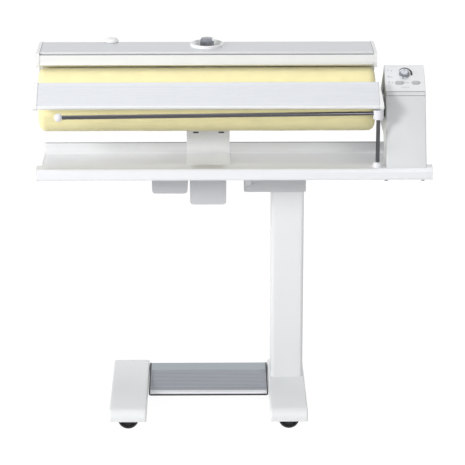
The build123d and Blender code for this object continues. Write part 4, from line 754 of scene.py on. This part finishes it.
# dark strips along the casing's, feeder's and hood's joints: painted shade in the grooves and gaps
addBlocks("casingJointShade",
          [((j["frontXs"][0], up - j["frontHalf"], -j["sunk"]),
            (j["frontXs"][1], up + j["frontHalf"], j["frontProud"])) for up in j["frontUps"]],
          seamShade, "head", "dark_plastic", laid=(j["frontFoot"], j["frontSlope"]),
          smooth=False)
addBlocks("feederJointShade",
          [((x - j["half"], j["feederUps"][0], -j["sunk"]),
            (x + j["half"], j["feederUps"][1], j["feederProud"])) for x in j["feederXs"]],
          seamShade, "head", "dark_plastic", laid=(j["feederFoot"], j["feederSlope"]),
          smooth=False)
addBlocks("hoodJointShade",
          [((x - j["half"], j["hoodYs"][0], j["hoodTop"] - j["sunk"]),
            (x + j["half"], j["hoodYs"][1], j["hoodTop"] + j["hoodProud"]))
           for x in j["hoodXs"]],
          seamShade, "press", "dark_plastic", smooth=False)
left, right = j["innerXs"]
low, high = j["hoodHighlightStrip"]
# a lighter strip on the hood's front top edge: painted highlight
addBlocks("hoodEdgeHighlight", [((left, *low), (right, *high))], capPlastic, "press",
          "white_plastic", j["hoodLipRound"])
# a dark strip where the guard hangs from the hood: painted shadow in the gap
wrapStrip("guardGapShadow", j["guardTurn"], j["guardRadius"], j["innerXs"], j["guardDegs"],
          seamShade, "guard", "dark_plastic", j["guardWall"])
low, high = j["guardLip"]
addBlocks("guardLip", [((left, *low), (right, *high))], capPlastic, "guard",
          "white_plastic", j["guardLipRound"])

# A dark strip along the rim of the tray's back wall, on both sides of the arm cover: painted shade
# on the wall's bent top edge.
rimShadeLook = {"xs": ((-0.4825, -0.12), (-0.006, 0.377)), "low": (0.1519, 0.6702),
           "high": (0.1531, 0.6723), "round": 0.0003}
addBlocks("trayRimShade",
          [((start, *rimShadeLook["low"]), (end, *rimShadeLook["high"])) for start, end in rimShadeLook["xs"]],
          greyPlastic, "head", "grey_plastic", rimShadeLook["round"])

# Dark strips that close the two slots in the arm cover's flange: painted shade inside the slots.
slotShadeLook = {"xs": (-0.0948, -0.0288), "half": 0.0074, "belowTop": (0.01, 0.0062),
            "fromBack": (0.0033, 0.0022)}
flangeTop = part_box("arm_cover")[1]
low, high = (Vector((0, flangeTop.y - deep, flangeTop.z - down))
             for deep, down in zip(slotShadeLook["fromBack"], slotShadeLook["belowTop"]))
addBlocks("slotShadeStrips",
          [((x - slotShadeLook["half"], low.y, low.z), (x + slotShadeLook["half"], high.y, high.z))
           for x in slotShadeLook["xs"]],
          darkPlastic, "head", "dark_plastic", smooth=False)

# Plugs in the ends of the carrier tube.
plugLook = {"ends": ((-0.4675, -0.454), (0.462, 0.4755)), "low": (0.0458, 0.6063),
            "high": (0.1382, 0.6377), "round": 0.0008}
addBlocks("carrierPlugs",
          [((start, *plugLook["low"]), (end, *plugLook["high"]))
           for start, end in plugLook["ends"]],
          darkPlastic, "head", "dark_plastic", plugLook["round"])

# The treadle: bright front bar, a dark toe strip that paints the shade under the nose, and plain
# back plate, placed out from its hinge.
treadLook = {
    "hinge": (0.152, 0.044), "tilt": radians(5.2), "reach": 0.156, "rise": 0.013,
    "nose": 0.007, "proud": 0.0003, "xs": (-0.2165, 0.0885), "barDegs": (-10, 92),
    "toeShadeDegs": (94, 165), "plateOut": (-0.0065, 0.0355), "plateInset": 0.001,
    "plateThick": 0.0006, "plateRound": 0.0002,
}


def onTread(out, up):
    # out from the hinge and up from the treadle's plane, as (y, z)
    hingeY, hingeZ = treadLook["hinge"]
    turn = treadLook["tilt"]
    return hingeY - out * cos(turn) - up * sin(turn), hingeZ - out * sin(turn) + up * cos(turn)


noseCentre = onTread(treadLook["reach"], treadLook["rise"] - treadLook["nose"])
noseRadius = treadLook["nose"] + treadLook["proud"]
wrapStrip("treadBar", noseCentre, noseRadius, treadLook["xs"], treadLook["barDegs"],
          brightBar, "treadle", "treadle_grey")
wrapStrip("treadToeShade", noseCentre, noseRadius, treadLook["xs"], treadLook["toeShadeDegs"],
          darkPlastic, "treadle", "dark_plastic")
backMesh = bmesh.new()
block(backMesh,
      (treadLook["xs"][0] + treadLook["plateInset"], treadLook["plateOut"][0], 0),
      (treadLook["xs"][1] - treadLook["plateInset"], treadLook["plateOut"][1],
       treadLook["plateThick"]), treadLook["plateRound"])
for vert in backMesh.verts:
    vert.co.yz = onTread(vert.co.y, treadLook["rise"] + vert.co.z)
addPiece("treadBackPlate", backMesh, backMetal, "treadle", "treadle_grey", smooth=False)
print("trim placed")


# Camera, floor, surroundings and lamps.
view = {"place": (-0.060, -5.420, 2.204), "focalPixels": 2225.0, "imagePixels": 465.0,
        "downDeg": 17.7, "rightDeg": 0.62, "sensor": 36.0, "farEnd": 200}
cameraData = bpy.data.cameras.new("camera")
cameraData.sensor_width = view["sensor"]
cameraData.lens = view["sensor"] * view["focalPixels"] / view["imagePixels"]
cameraData.clip_end = view["farEnd"]
camera = bpy.data.objects.new("camera", cameraData)
camera.location = view["place"]
camera.rotation_euler = (radians(90 - view["downDeg"]), 0, radians(-view["rightDeg"]))
scene = bpy.context.scene
scene.collection.objects.link(camera)
scene.camera = camera

floorLook = {"half": 60.0, "color": (0.9, 0.9, 0.9, 1), "glow": 0.88, "strength": 1.1}
floorMesh = bmesh.new()
bmesh.ops.create_grid(floorMesh, x_segments=1, y_segments=1, size=floorLook["half"])
floorData = bpy.data.meshes.new("studioFloor")
floorMesh.to_mesh(floorData)
floorMesh.free()
studioFloor = bpy.data.objects.new("studioFloor", floorData)
scene.collection.objects.link(studioFloor)


def seenOrMirrored(tree):
    # 1 where the camera or a reflection looks straight at the surface
    path = addNode(tree, "ShaderNodeLightPath")
    seen = addNode(tree, "ShaderNodeMath", operation="MAXIMUM")
    wire(tree,
         (path.outputs["Is Camera Ray"], seen.inputs[0]),
         (path.outputs["Is Glossy Ray"], seen.inputs[1]))
    return path, seen


# a matt floor that keeps the shadow, with a glow that makes it as pale as the photo's
floorMaterial = bpy.data.materials.new("floorMaterial")
floorMaterial.use_nodes = True
tree = floorMaterial.node_tree
tree.nodes.clear()
matt = addNode(tree, "ShaderNodeBsdfDiffuse", {"Color": floorLook["color"]})
glow = addNode(tree, "ShaderNodeEmission",
               {"Color": (1, 1, 1, 1), "Strength": floorLook["strength"]})
path, seen = seenOrMirrored(tree)
amount = addNode(tree, "ShaderNodeMath", {1: floorLook["glow"]}, operation="MULTIPLY")
blendShader = addNode(tree, "ShaderNodeMixShader")
out = addNode(tree, "ShaderNodeOutputMaterial")
wire(tree,
     (seen.outputs[0], amount.inputs[0]),
     (amount.outputs[0], blendShader.inputs["Fac"]),
     (matt.outputs[0], blendShader.inputs[1]),
     (glow.outputs[0], blendShader.inputs[2]),
     (blendShader.outputs[0], out.inputs["Surface"]))
floorData.materials.append(floorMaterial)

# white surroundings, dimmer as a source of light than to the eye
worldLook = {"light": 0.25, "sight": 1.0}
world = bpy.data.worlds.new("studio")
scene.world = world
world.use_nodes = True
tree = world.node_tree
sky = tree.nodes["Background"]
sky.inputs["Color"].default_value = (1, 1, 1, 1)
path, seen = seenOrMirrored(tree)
through = addNode(tree, "ShaderNodeMath", operation="MAXIMUM")
strength = addNode(tree, "ShaderNodeMapRange",
                   {"To Min": worldLook["light"], "To Max": worldLook["sight"]})
wire(tree,
     (seen.outputs[0], through.inputs[0]),
     (path.outputs["Is Transmission Ray"], through.inputs[1]),
     (through.outputs[0], strength.inputs["Value"]),
     (strength.outputs["Result"], sky.inputs["Strength"]))

# name, place, aim, width, height, watts
lampLook = (
    ("keyLamp", (-3.4, -3.4, 2.5), (0, 0, 0.7), 1.1, 1.1, 130),
    ("frontLamp", (1.6, -4.4, 2.1), (0, 0, 0.6), 1.6, 1.0, 50),
    ("sideLamp", (-4.2, -1.2, 1.9), (0, 0, 0.7), 1.1, 1.1, 50),
    ("topLamp", (0, 0.4, 4.2), (0, 0, 0.6), 3.0, 2.4, 46),
    ("backLamp", (3.4, 3.4, 2.4), (0, 0, 0.6), 1.6, 1.2, 45),
)
for name, place, aim, width, height, watts in lampLook:
    data = bpy.data.lights.new(name, "AREA")
    data.shape = "RECTANGLE"
    data.size = width
    data.size_y = height
    data.energy = watts
    lamp = bpy.data.objects.new(name, data)
    lamp.location = place
    lamp.rotation_euler = (Vector(aim) - Vector(place)).to_track_quat("-Z", "Y").to_euler()
    scene.collection.objects.link(lamp)

scene.view_settings.view_transform = "Standard"
